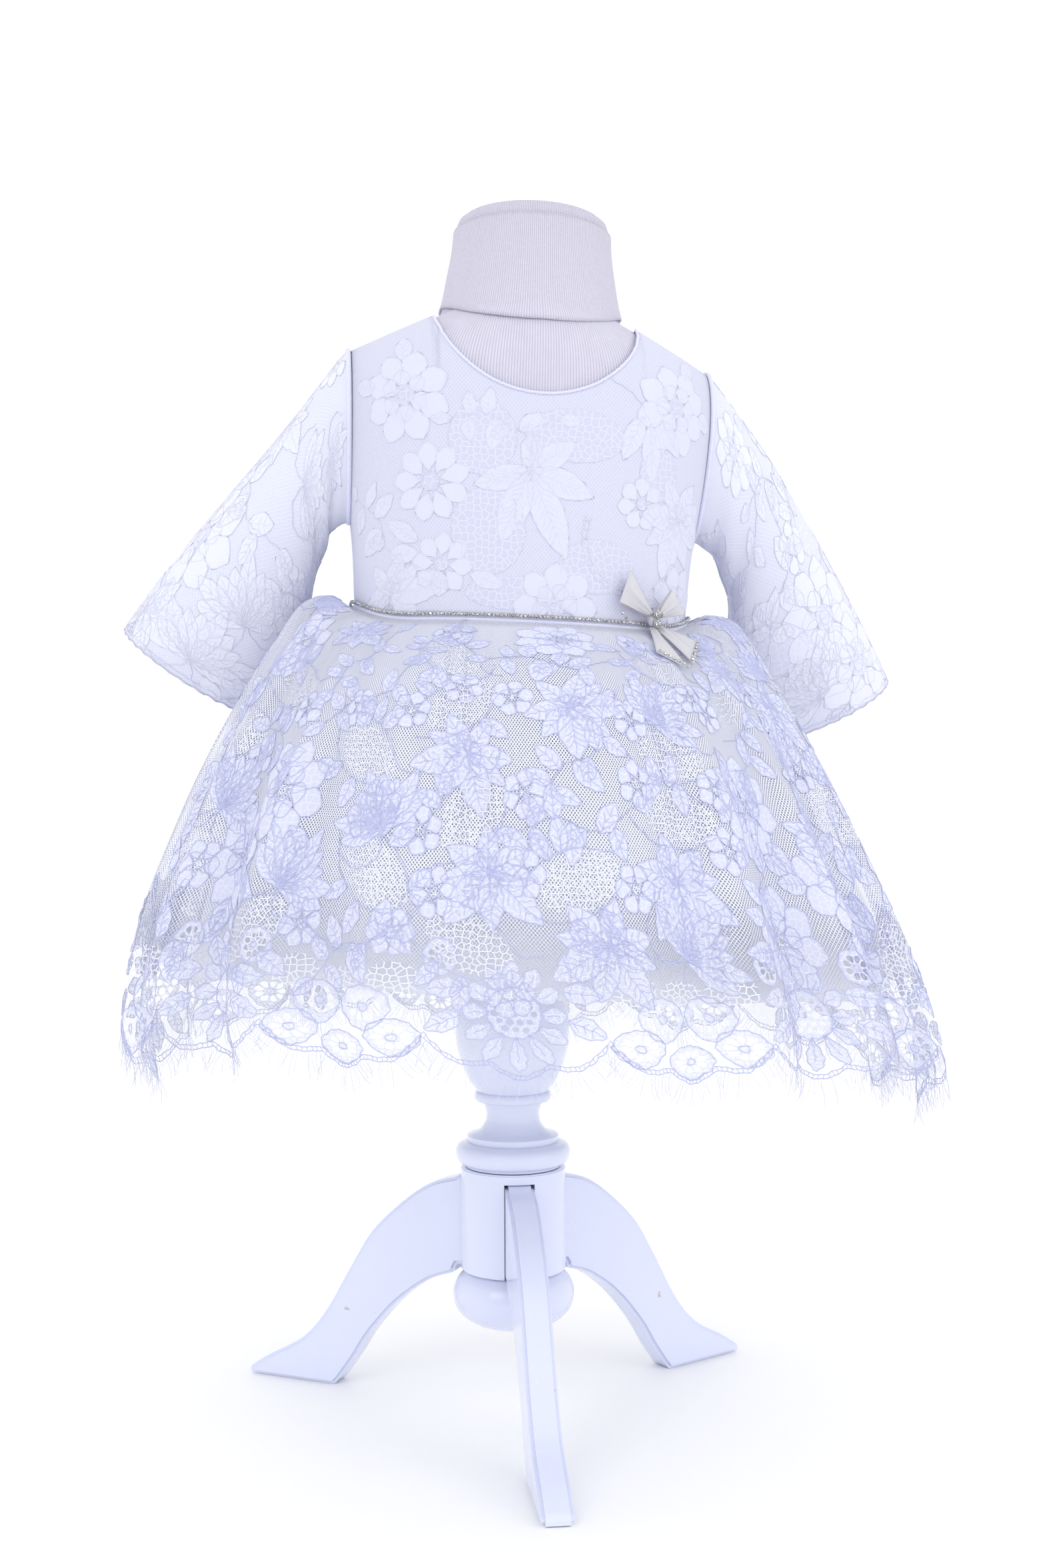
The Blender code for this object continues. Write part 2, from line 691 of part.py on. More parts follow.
def lace_sheet(name, first, last):
    """Half the lace skirt as a sheet with its gaps cut and its hem pointed."""
    shares, turns, width = turns_by_length(first, last)
    outline = [(width * i / WAIST_COLUMNS, 0.0) for i in range(WAIST_COLUMNS + 1)]
    outline += [(width, row.down * SKIRT_LENGTH) for row in LACE_ROWS]
    outline += list(reversed(hem_line(width)))
    outline += [(0.0, row.down * SKIRT_LENGTH) for row in reversed(LACE_ROWS)]
    points = list(outline)
    faces = [list(range(len(outline)))]
    for edge in lace_openings(width):
        faces.append(list(range(len(points), len(points) + len(edge))))
        points += edge
    for row in LACE_ROWS:
        for i in range(1, row.columns):
            points.append((width * i / row.columns, row.down * SKIRT_LENGTH))
    flat = [Vector(point) for point in points]
    places, _, triangles, _, _, inside = geometry.delaunay_2d_cdt(flat, [], faces, 1, 1e-7)
    kept = [tri for tri, owners in zip(triangles, inside) if list(owners) == [0]]
    used = sorted({index for tri in kept for index in tri})
    number = {index: n for n, index in enumerate(used)}
    cloth = []
    for index in used:
        along, down = places[index]
        turn = float(numpy.interp(along / width, shares, turns))
        cloth.append(skirt_point(turn, down / SKIRT_LENGTH, LACE))
    mesh = bpy.data.meshes.new(name)
    mesh.from_pydata(cloth, [], [[number[index] for index in tri] for tri in kept])
    mesh.shade_smooth()
    return mesh


def fringe_mesh(name, first, last):
    """A three-sided strip along half the lace's edge, with a thread at each tip and notch."""
    shares, turns, width = turns_by_length(first, last)

    def on_cloth(body, along, down, out=0.0):
        turn = float(numpy.interp(along / width, shares, turns))
        return body.verts.new(skirt_point(turn, down / SKIRT_LENGTH, LACE, out))

    body = bmesh.new()
    edge = hem_line(width)
    rings = []
    for i, (along, down) in enumerate(edge):
        inward = THREAD_HALF_ROOT * ((i == 0) - (i == len(edge) - 1))
        low = down + STRIP_GAP + THREAD_HALF_ROOT * ((i % 2 == 0) + (inward != 0.0))
        for place in (along + inward - THREAD_HALF_ROOT, along + inward + THREAD_HALF_ROOT):
            rings.append(
                (
                    on_cloth(body, place, low),
                    on_cloth(body, place, low + STRIP_HEIGHT, STRIP_THICKNESS / 2),
                    on_cloth(body, place, low + STRIP_HEIGHT, -STRIP_THICKNESS / 2),
                )
            )
    body.faces.new(rings[0])
    body.faces.new(rings[-1])
    for i, (here, there) in enumerate(zip(rings, rings[1:])):
        body.faces.new((here[0], there[0], there[1], here[1]))
        body.faces.new((here[0], here[2], there[2], there[0]))
        foot = (here[1], there[1], there[2], here[2])
        if i % 2:
            body.faces.new(foot)
            continue
        along, down = edge[i // 2]
        reach = along + THREAD_SWAY * math.sin(i * 1.2)
        reach = min(max(reach, THREAD_HALF_ROOT), width - THREAD_HALF_ROOT)
        length = THREAD_LENGTH * (1.0 + THREAD_UNEVENNESS * math.sin(i * 1.7))
        tip = on_cloth(body, reach, down + length)
        for a, b in zip(foot, foot[1:] + foot[:1]):
            body.faces.new((a, b, tip))
    bmesh.ops.recalc_face_normals(body, faces=body.faces)
    mesh = bpy.data.meshes.new(name)
    body.to_mesh(mesh)
    body.free()
    return mesh


def make_skirts(lace, tulle, satin, parts):
    halves = (
        ("front", -math.pi + HALF_GAP_ANGLE, -HALF_GAP_ANGLE),
        ("back", HALF_GAP_ANGLE, math.pi - HALF_GAP_ANGLE),
    )
    for half, first, last in halves:
        name = "skirt_lace_" + half
        thing = add_object(name, lace_sheet(name, first, last), lace, parts)
        give_wall(thing, LACE_WALL)
        name = "hem_fringe_" + half
        add_object(name, fringe_mesh(name, first, last), lace, parts)

    grid = []
    for down in TULLE_ROWS:
        ring = []
        for i in range(TULLE_SIDES):
            turn = math.tau * i / TULLE_SIDES
            wave = math.sin(TULLE_WAVES * turn) * eased(down / FOLDS_FULL_AT)
            low = down + TULLE_HEM_WAVE * wave * (down == TULLE_ROWS[-1])
            ring.append(skirt_point(turn, low, TULLE, TULLE_WAVE_DEPTH * wave))
        grid.append(ring)
    thing = add_object("petticoat_tulle", sheet_mesh("petticoat_tulle", grid, True), tulle, parts)
    give_wall(thing, TULLE_WALL)

    grid = [
        [skirt_point(math.tau * i / LINING_SIDES, down, LINING) for i in range(LINING_SIDES)]
        for down in LINING_ROWS
    ]
    thing = add_object("skirt_lining", sheet_mesh("skirt_lining", grid, True), satin, parts)
    give_wall(thing, LINING_WALL)


def waist_point(turn, above, out):
    """A point off the bodice just above the waist seam, in the form's frame."""
    front = math.sin(turn) < 0
    power = 2.0 / BODY_SQUARENESS
    dip = WAIST_FRONT_DIP if front else WAIST_BACK_DIP
    z = WAIST_Z - dip * front_share(turn) + above
    ring = row_between(BODY_RINGS, z)
    depth = ring.front_depth if front else ring.back_depth
    x = ring.half_width * signed_power(math.cos(turn), power)
    y = depth * signed_power(math.sin(turn), power)
    outward = Vector((x / ring.half_width**2, y / depth**2)).normalized()
    return Vector((x + outward.x * out, y + outward.y * out, z))


def make_belt(silver, parts, form):
    grid = [
        [waist_point(math.tau * i / BELT_SIDES, above, BELT_OUT) for i in range(BELT_SIDES)]
        for above in (BELT_HIGH, BELT_LOW)
    ]
    belt = add_object("belt", sheet_mesh("belt", grid, True), silver, parts, form)
    give_wall(belt, BELT_WALL)


def bow_point(right, up, out):
    """A point of the bow from its own right, up and out, in the form's frame."""
    share = BOW_X / row_between(BODY_RINGS, WAIST_Z).half_width
    turn = -math.acos(share ** (BODY_SQUARENESS / 2))
    root = waist_point(turn, BELT_LOW + BOW_RISE, 0.0)
    across = Vector((math.cos(BOW_TURN), math.sin(BOW_TURN), 0.0))
    outward = Vector((math.sin(BOW_TURN), -math.cos(BOW_TURN), 0.0))
    out += BOW_OUT + max(0.0, BOW_SLOPE_FROM - up) * BOW_SLOPE
    return root + across * right + outward * out + Vector((0.0, 0.0, up))


def lobe_grid(lobe):
    """Rows of points of one ribbon lobe: a loop runs out and back, a tail only out."""
    far = Vector((lobe.far_right + lobe.end_right, lobe.far_up + lobe.end_up)) / 2
    spread = Vector((lobe.end_right - lobe.far_right, lobe.end_up - lobe.far_up)) / 2
    away = far.normalized()
    knot = Vector((away.x / KNOT_HALF_SIZES[0], away.y / KNOT_HALF_SIZES[2])).length
    root = away * (1.0 / knot + BOW_ROOT_GAP)
    root_spread = Vector((-away.y, away.x)) * BOW_HALF_ROOT
    if root_spread.dot(spread) < 0:
        root_spread.negate()
    grid = []
    for row in range(BOW_ROWS + 1):
        t = row / BOW_ROWS
        reach = math.sin(math.pi * t) if lobe.loop else t
        out = BOW_LOOP_DEPTH * (1.0 + math.cos(math.pi * t)) / 2 if lobe.loop else BOW_TAIL_OUT
        out += BOW_BELLY * math.sin(math.pi * t)
        middle = root + (far - root) * reach
        half = root_spread + (spread - root_spread) * reach
        ribbon = []
        for column in range(BOW_COLUMNS + 1):
            s = 2.0 * column / BOW_COLUMNS - 1.0
            place = middle + half * s
            crease = BOW_CREASE * math.cos(s * math.pi) * (1.0 - reach)
            ribbon.append(bow_point(place.x, place.y, out + crease))
        grid.append(ribbon)
    return grid


def round_mesh(name, middle, half_sizes, around, along):
    body = bmesh.new()
    bmesh.ops.create_uvsphere(body, u_segments=around, v_segments=along, radius=1.0)
    for vert in body.verts:
        right, out, up = vert.co.x * half_sizes[0], -vert.co.y * half_sizes[1], vert.co.z
        vert.co = bow_point(middle[0] + right, 0.0, middle[1] + out)
        vert.co.z += middle[2] + up * half_sizes[2]
    bmesh.ops.recalc_face_normals(body, faces=body.faces)
    mesh = bpy.data.meshes.new(name)
    body.to_mesh(mesh)
    body.free()
    mesh.shade_smooth()
    return mesh


def make_bow(satin, crystal, parts, form):
    for name, lobe in BOW_LOBES.items():
        thing = add_object(name, sheet_mesh(name, lobe_grid(lobe)), satin, parts, form)
        give_wall(thing, RIBBON_WALL)
    knot = round_mesh("bow_knot", (0.0, KNOT_OUT, 0.0), KNOT_HALF_SIZES, 10, 6)
    add_object("bow_knot", knot, satin, parts, form)
    stone_out = KNOT_OUT + KNOT_HALF_SIZES[1] + STONE_RADIUS + SEAM_GAP
    for name, up in (("bow_stone_upper", STONE_RADIUS), ("bow_stone_lower", -STONE_RADIUS)):
        middle = (0.0, stone_out, up + math.copysign(SEAM_GAP, up))
        stone = round_mesh(name, middle, (STONE_RADIUS,) * 3, 8, 5)
        add_object(name, stone, crystal, parts, form)


def turned(name, profile, material, parts):
    """A turned piece: its profile runs down the outer side and closes on the axis."""
    points = [(0.0, 0.0, profile[0].z)]
    points += [(turn.radius, 0.0, turn.z) for turn in profile]
    points += [(0.0, 0.0, profile[-1].z)]
    mesh = bpy.data.meshes.new(name)
    mesh.from_pydata(points, [(i, i + 1) for i in range(len(points) - 1)], [])
    thing = add_object(name, mesh, material, parts)
    screw = thing.modifiers.new("turning", "SCREW")
    screw.steps = TURNED_SIDES
    screw.render_steps = TURNED_SIDES
    screw.use_merge_vertices = True
    screw.merge_threshold = 0.0001
    return thing


def make_leg(name, degrees, material, parts):
    outline = bpy.data.curves.new(name, "CURVE")
    outline.dimensions = "2D"
    outline.fill_mode = "BOTH"
    outline.extrude = LEG_THICKNESS / 2
    head = (
        LegPoint(LEG_HEAD_RADIUS, HUB_FLOOR_Z + SEAM_GAP),
        LegPoint(LEG_HEAD_RADIUS, SLOT_TOP_Z - SEAM_GAP),
        LegPoint(HUB_RADIUS, SLOT_TOP_Z - SEAM_GAP),
    )
    shoulder = (LegPoint(LEG_SHOULDER_RADIUS, HUB_FLOOR_Z + SEAM_GAP),)
    points = head + LEG_TOP_EDGE + LEG_UNDER_EDGE + shoulder
    spline = outline.splines.new("POLY")
    spline.points.add(len(points) - 1)
    for place, point in zip(spline.points, points):
        place.co = (point.radius, point.z, 0.0, 1.0)
    spline.use_cyclic_u = True
    thing = bpy.data.objects.new(name, outline)
    outline.materials.append(material)
    parts.objects.link(thing)
    thing.rotation_euler = (math.pi / 2, 0.0, math.radians(degrees))
    weld = thing.modifiers.new("weld", "WELD")
    weld.merge_threshold = 0.00005
    rounding = thing.modifiers.new("rounding", "BEVEL")
    rounding.width = LEG_ROUNDING
    rounding.segments = 1
    rounding.limit_method = "ANGLE"
    rounding.angle_limit = math.radians(70)
    return thing


def make_stand(paint, parts, cutters):
    turned("stand_column", COLUMN_PROFILE, paint, parts)
    turned("stand_ball", BALL_PROFILE, paint, parts)
    body = bmesh.new()
    height = HUB_TOP_Z - HUB_FLOOR_Z
    bmesh.ops.create_cone(
        body,
        cap_ends=True,
        segments=HUB_SIDES,
        radius1=HUB_RADIUS,
        radius2=HUB_RADIUS,
        depth=height,
    )
    mesh = bpy.data.meshes.new("stand_hub")
    body.to_mesh(mesh)
    body.free()
    hub = add_object("stand_hub", mesh, paint, parts)
    hub.location = (0.0, 0.0, HUB_FLOOR_Z + height / 2)
    for name, degrees in LEG_DIRECTIONS.items():
        make_leg(name, degrees, paint, parts)
        body = bmesh.new()
        bmesh.ops.create_cube(body, size=1.0)
        mesh = bpy.data.meshes.new("slot_" + name)
        body.to_mesh(mesh)
        body.free()
        slot = add_object("slot_" + name, mesh, paint, cutters)
        low = HUB_FLOOR_Z - SLOT_CUT_BELOW
        direction = math.radians(degrees)
        middle = SLOT_DEPTH_RADIUS + SLOT_CUT_LENGTH / 2
        slot.location = (
            middle * math.cos(direction),
            middle * math.sin(direction),
            (low + SLOT_TOP_Z) / 2,
        )
        slot.rotation_euler = (0.0, 0.0, direction)
        slot.scale = (SLOT_CUT_LENGTH, LEG_THICKNESS + 2 * SEAM_GAP, SLOT_TOP_Z - low)
        slot.hide_render = True
        slot.display_type = "WIRE"
        cut = hub.modifiers.new("cut_" + name, "BOOLEAN")
        cut.operation = "DIFFERENCE"
        cut.object = slot


def main():
    clear_scene()
    scene = bpy.context.scene
    parts = bpy.data.collections.new("christening_gown")
    cutters = bpy.data.collections.new("cutters")
    scene.collection.children.link(parts)
    scene.collection.children.link(cutters)

    lace = finish("corded_lace", 0.84, 0.86, 0.94, 0.75)
    satin = finish("satin", 0.88, 0.89, 0.95, 0.35)
    tulle = finish("tulle", 0.86, 0.88, 0.95, 0.80)
    ribbon = finish("ribbon", 0.80, 0.81, 0.86, 0.30)
    crystal = finish("crystal", 0.80, 0.82, 0.86, 0.08)
    silver = finish("cup_chain", 0.70, 0.71, 0.74, 0.25, metallic=1.0)
    knit = finish("ribbed_knit", 0.86, 0.85, 0.90, 0.90)
    paint = finish("gloss_paint", 0.86, 0.87, 0.93, 0.22)

    form = bpy.data.objects.new("form_lean", None)
    form.location = (0.0, FORM_Y, LEAN_Z)
    form.rotation_euler = (0.0, LEAN, 0.0)
    parts.objects.link(form)

    make_form(knit, parts, form)
    make_bodice(lace, parts, form)
    make_sleeves(lace, parts, form)
    make_skirts(lace, tulle, satin, parts)
    make_belt(silver, parts, form)
    make_bow(ribbon, crystal, parts, form)
    make_stand(paint, parts, cutters)
    centre_footprint(parts, cutters)


main()
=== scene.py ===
import math

import bmesh
import bpy
import numpy as np
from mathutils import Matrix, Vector, geometry


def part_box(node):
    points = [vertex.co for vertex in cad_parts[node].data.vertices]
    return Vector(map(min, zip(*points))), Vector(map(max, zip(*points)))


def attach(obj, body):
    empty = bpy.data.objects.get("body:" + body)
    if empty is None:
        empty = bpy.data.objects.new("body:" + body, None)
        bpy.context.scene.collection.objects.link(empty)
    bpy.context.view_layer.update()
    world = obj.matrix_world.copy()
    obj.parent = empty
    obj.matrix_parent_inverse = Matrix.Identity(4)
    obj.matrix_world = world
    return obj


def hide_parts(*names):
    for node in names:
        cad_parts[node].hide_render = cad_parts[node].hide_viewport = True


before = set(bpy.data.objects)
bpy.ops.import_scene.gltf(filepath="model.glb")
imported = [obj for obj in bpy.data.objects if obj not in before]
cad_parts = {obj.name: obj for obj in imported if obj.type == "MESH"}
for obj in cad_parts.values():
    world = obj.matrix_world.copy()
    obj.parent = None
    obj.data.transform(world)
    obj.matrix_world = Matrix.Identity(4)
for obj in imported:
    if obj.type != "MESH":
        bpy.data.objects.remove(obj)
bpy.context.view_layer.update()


# The dress form: a padded body with neither arms nor legs, under a fine ribbed knit cover. The
# cover is pulled over from below and turned down at the neck as a collar. The whole form leans
# a little on its post, and everything worn on it leans with it.
STAND_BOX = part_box("stand_column")
AXIS = np.array([(STAND_BOX[0].x + STAND_BOX[1].x) / 2, (STAND_BOX[0].y + STAND_BOX[1].y) / 2, 0.0])
FORM_Y = -0.012
LEAN = math.radians(2.3)
LEAN_Z = 0.390
BODY_SQUARENESS = 2.4
SHOULDER_ROUND = 0.060
SHOULDER_POWER = 2.2
NECK_POINT_X = 0.062
NECK_POINT_Z = 0.675
SHOULDER_TIP_X = 0.110
SHOULDER_TIP_Z = 0.652
# z, half width, front depth, back depth
BODY_RINGS = np.array([
    (0.400, 0.0860, 0.0680, 0.0600),
    (0.430, 0.0945, 0.0750, 0.0660),
    (0.465, 0.0995, 0.0790, 0.0700),
    (0.496, 0.1020, 0.0800, 0.0720),
    (0.530, 0.1045, 0.0790, 0.0730),
    (0.560, 0.1085, 0.0775, 0.0750),
    (0.590, 0.1140, 0.0755, 0.0765),
    (0.620, 0.1185, 0.0730, 0.0760),
    (0.650, 0.1205, 0.0700, 0.0730),
    (0.690, 0.1210, 0.0660, 0.0680),
])
# z, radius
NECK_RINGS = np.array([
    (0.635, 0.0580),
    (0.660, 0.0575),
    (0.671, 0.0572),
    (0.678, 0.0560),
    (0.690, 0.0530),
    (0.704, 0.0505),
    (0.720, 0.0480),
    (0.738, 0.0470),
])
NECK_Y = 0.001
FORM_INSET = 0.0016
FORM_FOOT_Z = 0.404
SHOULDERS_Z = 0.62
FORM_TOP_Z = 0.740
FORM_MEAN_RADIUS = 0.056
KNIT_COLOUR = (0.69, 0.67, 0.80)
KNIT_SHADE = (0.53, 0.52, 0.65)
KNIT_COLUMN = 0.0013
KNIT_ROW = 0.0011


def eased(share):
    share = np.clip(share, 0.0, 1.0)
    return share * share * (3.0 - 2.0 * share)


def rows_at(table, at):
    """The table's other columns at values of its first one, on a smooth curve through its rows."""
    keys = table[:, 0]
    at = np.clip(np.atleast_1d(np.asarray(at, float)), keys[0], keys[-1])
    i = np.clip(np.searchsorted(keys, at, side="right") - 1, 0, len(keys) - 2)
    before, after = np.maximum(i - 1, 0), np.minimum(i + 2, len(keys) - 1)
    span = (keys[i + 1] - keys[i])[:, None]
    t = ((at - keys[i]) / span[:, 0])[:, None]
    start, end = table[i, 1:], table[i + 1, 1:]
    leave = (end - table[before, 1:]) / (keys[i + 1] - keys[before])[:, None] * span
    arrive = (table[after, 1:] - start) / (keys[after] - keys[i])[:, None] * span
    return (
        (2 * t**3 - 3 * t**2 + 1) * start
        + (t**3 - 2 * t**2 + t) * leave
        + (3 * t**2 - 2 * t**3) * end
        + (t**3 - t**2) * arrive
    ).T


def shoulder_z(x):
    slope = (NECK_POINT_Z - SHOULDER_TIP_Z) / (SHOULDER_TIP_X - NECK_POINT_X)
    return NECK_POINT_Z - (np.abs(x) - NECK_POINT_X) * slope


def body_depth(x, z, front, inset=0.0):
    """How far the body reaches from its middle plane at places across it and heights."""
    half_width, front_depth, back_depth = rows_at(BODY_RINGS, z)
    depth = np.where(front, front_depth, back_depth) - inset
    share = np.abs(x) / (half_width - inset)
    across = np.maximum(0.0, 1.0 - share**BODY_SQUARENESS) ** (1 / BODY_SQUARENESS)
    rise = np.clip((z - (shoulder_z(x) - inset - SHOULDER_ROUND)) / SHOULDER_ROUND, 0.0, 1.0)
    return depth * across * (1.0 - rise**SHOULDER_POWER) ** (1 / SHOULDER_POWER)


def form_radius(turn, z):
    inside, outside = np.zeros_like(turn), np.full_like(turn, 0.2)
    half_width = rows_at(BODY_RINGS, z)[0] - FORM_INSET
    for _ in range(24):
        radius = (inside + outside) / 2
        x, y = radius * np.cos(turn), radius * np.sin(turn)
        within = (np.abs(x) < half_width) & (np.abs(y) < body_depth(x, z, y < 0, FORM_INSET))
        inside, outside = np.where(within, radius, inside), np.where(within, outside, radius)
    neck = rows_at(NECK_RINGS, z)[0]
    offset = NECK_Y * np.sin(turn)
    neck = offset + np.sqrt(np.maximum(neck**2 - (NECK_Y * np.cos(turn)) ** 2, 0.0))
    return np.maximum(inside, np.where(z > NECK_RINGS[0, 0], neck, 0.0))


def on_form(points):
    """Points of the upright form, leaned and moved to where the form stands."""
    x, y, z = points[..., 0], points[..., 1], points[..., 2] - LEAN_Z
    leaned = (
        x * math.cos(LEAN) + z * math.sin(LEAN),
        y + FORM_Y,
        z * math.cos(LEAN) - x * math.sin(LEAN) + LEAN_Z,
    )
    return np.stack(leaned, axis=-1) + AXIS


def finish(name, colour, roughness):
    material = bpy.data.materials.new(name)
    material.use_nodes = True
    shader = material.node_tree.nodes["Principled BSDF"]
    shader.inputs["Base Color"].default_value = (*colour, 1.0)
    shader.inputs["Roughness"].default_value = roughness
    return material, shader


def node(tree, kind, inputs=(), **settings):
    """A shader node with its settings and its inputs, each a value or another node's output."""
    made = tree.nodes.new("ShaderNode" + kind)
    for key, value in settings.items():
        setattr(made, key, value)
    for key, value in dict(inputs).items():
        if isinstance(value, bpy.types.NodeSocket):
            tree.links.new(value, made.inputs[key])
        else:
            made.inputs[key].default_value = value
    return made


def reckon(tree, operation, first, second=0.0, third=0.0):
    made = node(tree, "Math", {0: first, 1: second, 2: third}, operation=operation)
    return made.outputs[0]


def tint(tree, share, low, high):
    """A colour between two, by a share."""
    made = node(tree, "Mix", {0: share, 6: (*low, 1.0), 7: (*high, 1.0)}, data_type="RGBA")
    return made.outputs[2]


def raise_by(tree, shader, height, distance, strength=1.0):
    bump = node(tree, "Bump", {"Height": height, "Distance": distance, "Strength": strength})
    tree.links.new(bump.outputs[0], shader.inputs["Normal"])


def grid_mesh(name, points, lengths, flip=False, ends=False):
    """Quads through rows of points. Lengths are their places on the flat cloth, kept as its UV map,
    with one column more than the points where the rows close on themselves."""
    rows, columns = points.shape[:2]
    steps = lengths.shape[1] - 1
    faces, places = [], []
    for r in range(rows - 1):
        for c in range(steps):
            corners = [(r, c), (r, c + 1), (r + 1, c + 1), (r + 1, c)]
            if flip:
                corners.reverse()
            faces.append([i * columns + j % columns for i, j in corners])
            places += [lengths[i, j] for i, j in corners]
    if ends:
        faces.append(list(range(columns))[:: 1 if flip else -1])
        faces.append([(rows - 1) * columns + i for i in range(columns)][:: -1 if flip else 1])
        places += [(0.0, 0.0)] * (2 * columns)
    mesh = bpy.data.meshes.new(name)
    mesh.from_pydata([tuple(p) for p in points.reshape(-1, 3)], [], faces)
    mesh.uv_layers.new(name="cloth").data.foreach_set("uv", np.array(places).ravel())
    mesh.shade_smooth()
    return mesh


def flat_lengths(turns, around, down):
    """Places on the flat cloth of a tube's closed rows: round it by the turns, and down it."""
    wrapped = np.append(turns, math.tau)
    return np.stack(np.broadcast_arrays(wrapped[None, :] * around, down[:, None]), axis=-1)


def put_in_scene(name, data):
    thing = bpy.data.objects.new(name, data)
    bpy.context.scene.collection.objects.link(thing)
    return thing


def give_wall(piece, thickness, offset=0.0):
    wall = piece.modifiers.new("wall", "SOLIDIFY")
    wall.thickness = thickness
    wall.offset = offset


def add_piece(name, mesh, material, slot, *nodes):
    piece = put_in_scene(name, mesh)
    mesh.materials.clear()
    mesh.materials.append(material)
    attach(piece, "root")
    if nodes:
        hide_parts(*nodes)
    return piece


def knit_finish():
    material, shader = finish("ribbed_knit", KNIT_COLOUR, 0.85)
    tree = material.node_tree
    place = node(tree, "SeparateXYZ", {0: node(tree, "UVMap", uv_map="cloth").outputs[0]})
    across = reckon(tree, "PINGPONG", reckon(tree, "DIVIDE", place.outputs[0], KNIT_COLUMN), 0.5)
    up = reckon(tree, "DIVIDE", place.outputs[1], KNIT_ROW)
    chevron = reckon(tree, "PINGPONG", reckon(tree, "ADD", up, across), 0.5)
    column = reckon(tree, "SINE", reckon(tree, "MULTIPLY", across, math.pi))
    height = reckon(tree, "MULTIPLY_ADD", chevron, 0.5, column)
    wear = node(tree, "TexNoise", {"Scale": 35.0, "Detail": 3.0})
    uneven = reckon(tree, "MULTIPLY", wear.outputs[0], 0.5)
    # The grooves between the stitches are painted darker, towards KNIT_SHADE, as painted shade in the
    # knit's relief; the noise adds a random uneven tone.
    share = reckon(tree, "ADD", reckon(tree, "MULTIPLY", height, 0.62), uneven)
    tree.links.new(tint(tree, share, KNIT_SHADE, KNIT_COLOUR), shader.inputs["Base Color"])
    shader.inputs["Sheen Weight"].default_value = 0.25
    raise_by(tree, shader, height, 0.0004)
    return material


knit = knit_finish()
form_turns = np.linspace(0.0, math.tau, 120, endpoint=False)
form_heights = np.concatenate([
    np.linspace(FORM_FOOT_Z, SHOULDERS_Z, 22), np.linspace(SHOULDERS_Z + 0.004, FORM_TOP_Z, 48),
])
turn_grid, height_grid = np.meshgrid(form_turns, form_heights)
radius_grid = form_radius(turn_grid.ravel(), height_grid.ravel()).reshape(turn_grid.shape)
edge_round = np.minimum((height_grid - FORM_FOOT_Z) / 0.010, (FORM_TOP_Z - height_grid) / 0.006)
radius_grid *= 0.92 + 0.08 * np.sqrt(1.0 - (1.0 - np.clip(edge_round, 0.0, 1.0)) ** 2)
form_points = on_form(np.stack(
    [radius_grid * np.cos(turn_grid), radius_grid * np.sin(turn_grid), height_grid], axis=-1
))
form_lengths = flat_lengths(form_turns, FORM_MEAN_RADIUS, form_heights)
add_piece(
    "padded_form", grid_mesh("padded_form", form_points, form_lengths, ends=True), knit, "knit",
    "form_torso",
)

COLLAR_TOP_Z = 0.731
COLLAR_SIDE_Z = 0.682
COLLAR_FRONT_Z = 0.663
COLLAR_OUT = 0.0013
COLLAR_WALL = 0.0014
COLLAR_MEAN_RADIUS = 0.053
COLLAR_DEPTH = 0.06
collar_rows = np.linspace(0.0, 1.0, 22)
collar_turns, collar_shares = np.meshgrid(form_turns, collar_rows)
dip = np.maximum(0.0, -np.sin(collar_turns)) ** 1.5
collar_low = COLLAR_SIDE_Z + (COLLAR_FRONT_Z - COLLAR_SIDE_Z) * dip
collar_z = collar_low + (COLLAR_TOP_Z - collar_low) * collar_shares
collar_radius = form_radius(collar_turns.ravel(), collar_z.ravel()).reshape(collar_z.shape) + COLLAR_OUT
collar_radius += 0.0005 * np.sin(3 * collar_turns + 1.0) * np.exp(-((collar_shares / 0.3) ** 2))
collar_points = on_form(np.stack(
    [collar_radius * np.cos(collar_turns), collar_radius * np.sin(collar_turns), collar_z], axis=-1
))
collar_lengths = flat_lengths(form_turns, COLLAR_MEAN_RADIUS, COLLAR_DEPTH * collar_rows)
collar = add_piece(
    "turned_collar", grid_mesh("turned_collar", collar_points, collar_lengths), knit, "knit",
    "neck_band",
)
give_wall(collar, COLLAR_WALL)


# The stand: a turned wooden column with a bulb, a neck and rings, a slotted hub with a ball below,
# and three sawn legs with rounded edges let into the hub. All of it is sanded, primed and painted
# gloss white, a little rubbed on the ball where it is picked up.
PAINT_COLOUR = (0.73, 0.77, 0.955)
RUBBED_COLOUR = (0.56, 0.50, 0.47)
STAND_SIDES = 96
HUB_TOP_Z = 0.1510
HUB_FLOOR_Z = 0.0870
HUB_RADIUS = 0.0328
LEG_THICKNESS = 0.0180
SLOT_TOP_Z = 0.1450
SLOT_LOW_Z = 0.077
SLOT_ROOM = 0.0003
SLOT_REACH = 0.0190
SLOT_LENGTH = 0.05
LEG_EDGE_ROUND = 0.0030


def curve_through(points, steps):
    """More points on a smooth curve through a few."""
    table = np.array([(i, *point) for i, point in enumerate(points)], float)
    return list(zip(*rows_at(table, np.linspace(0, len(points) - 1, steps))))


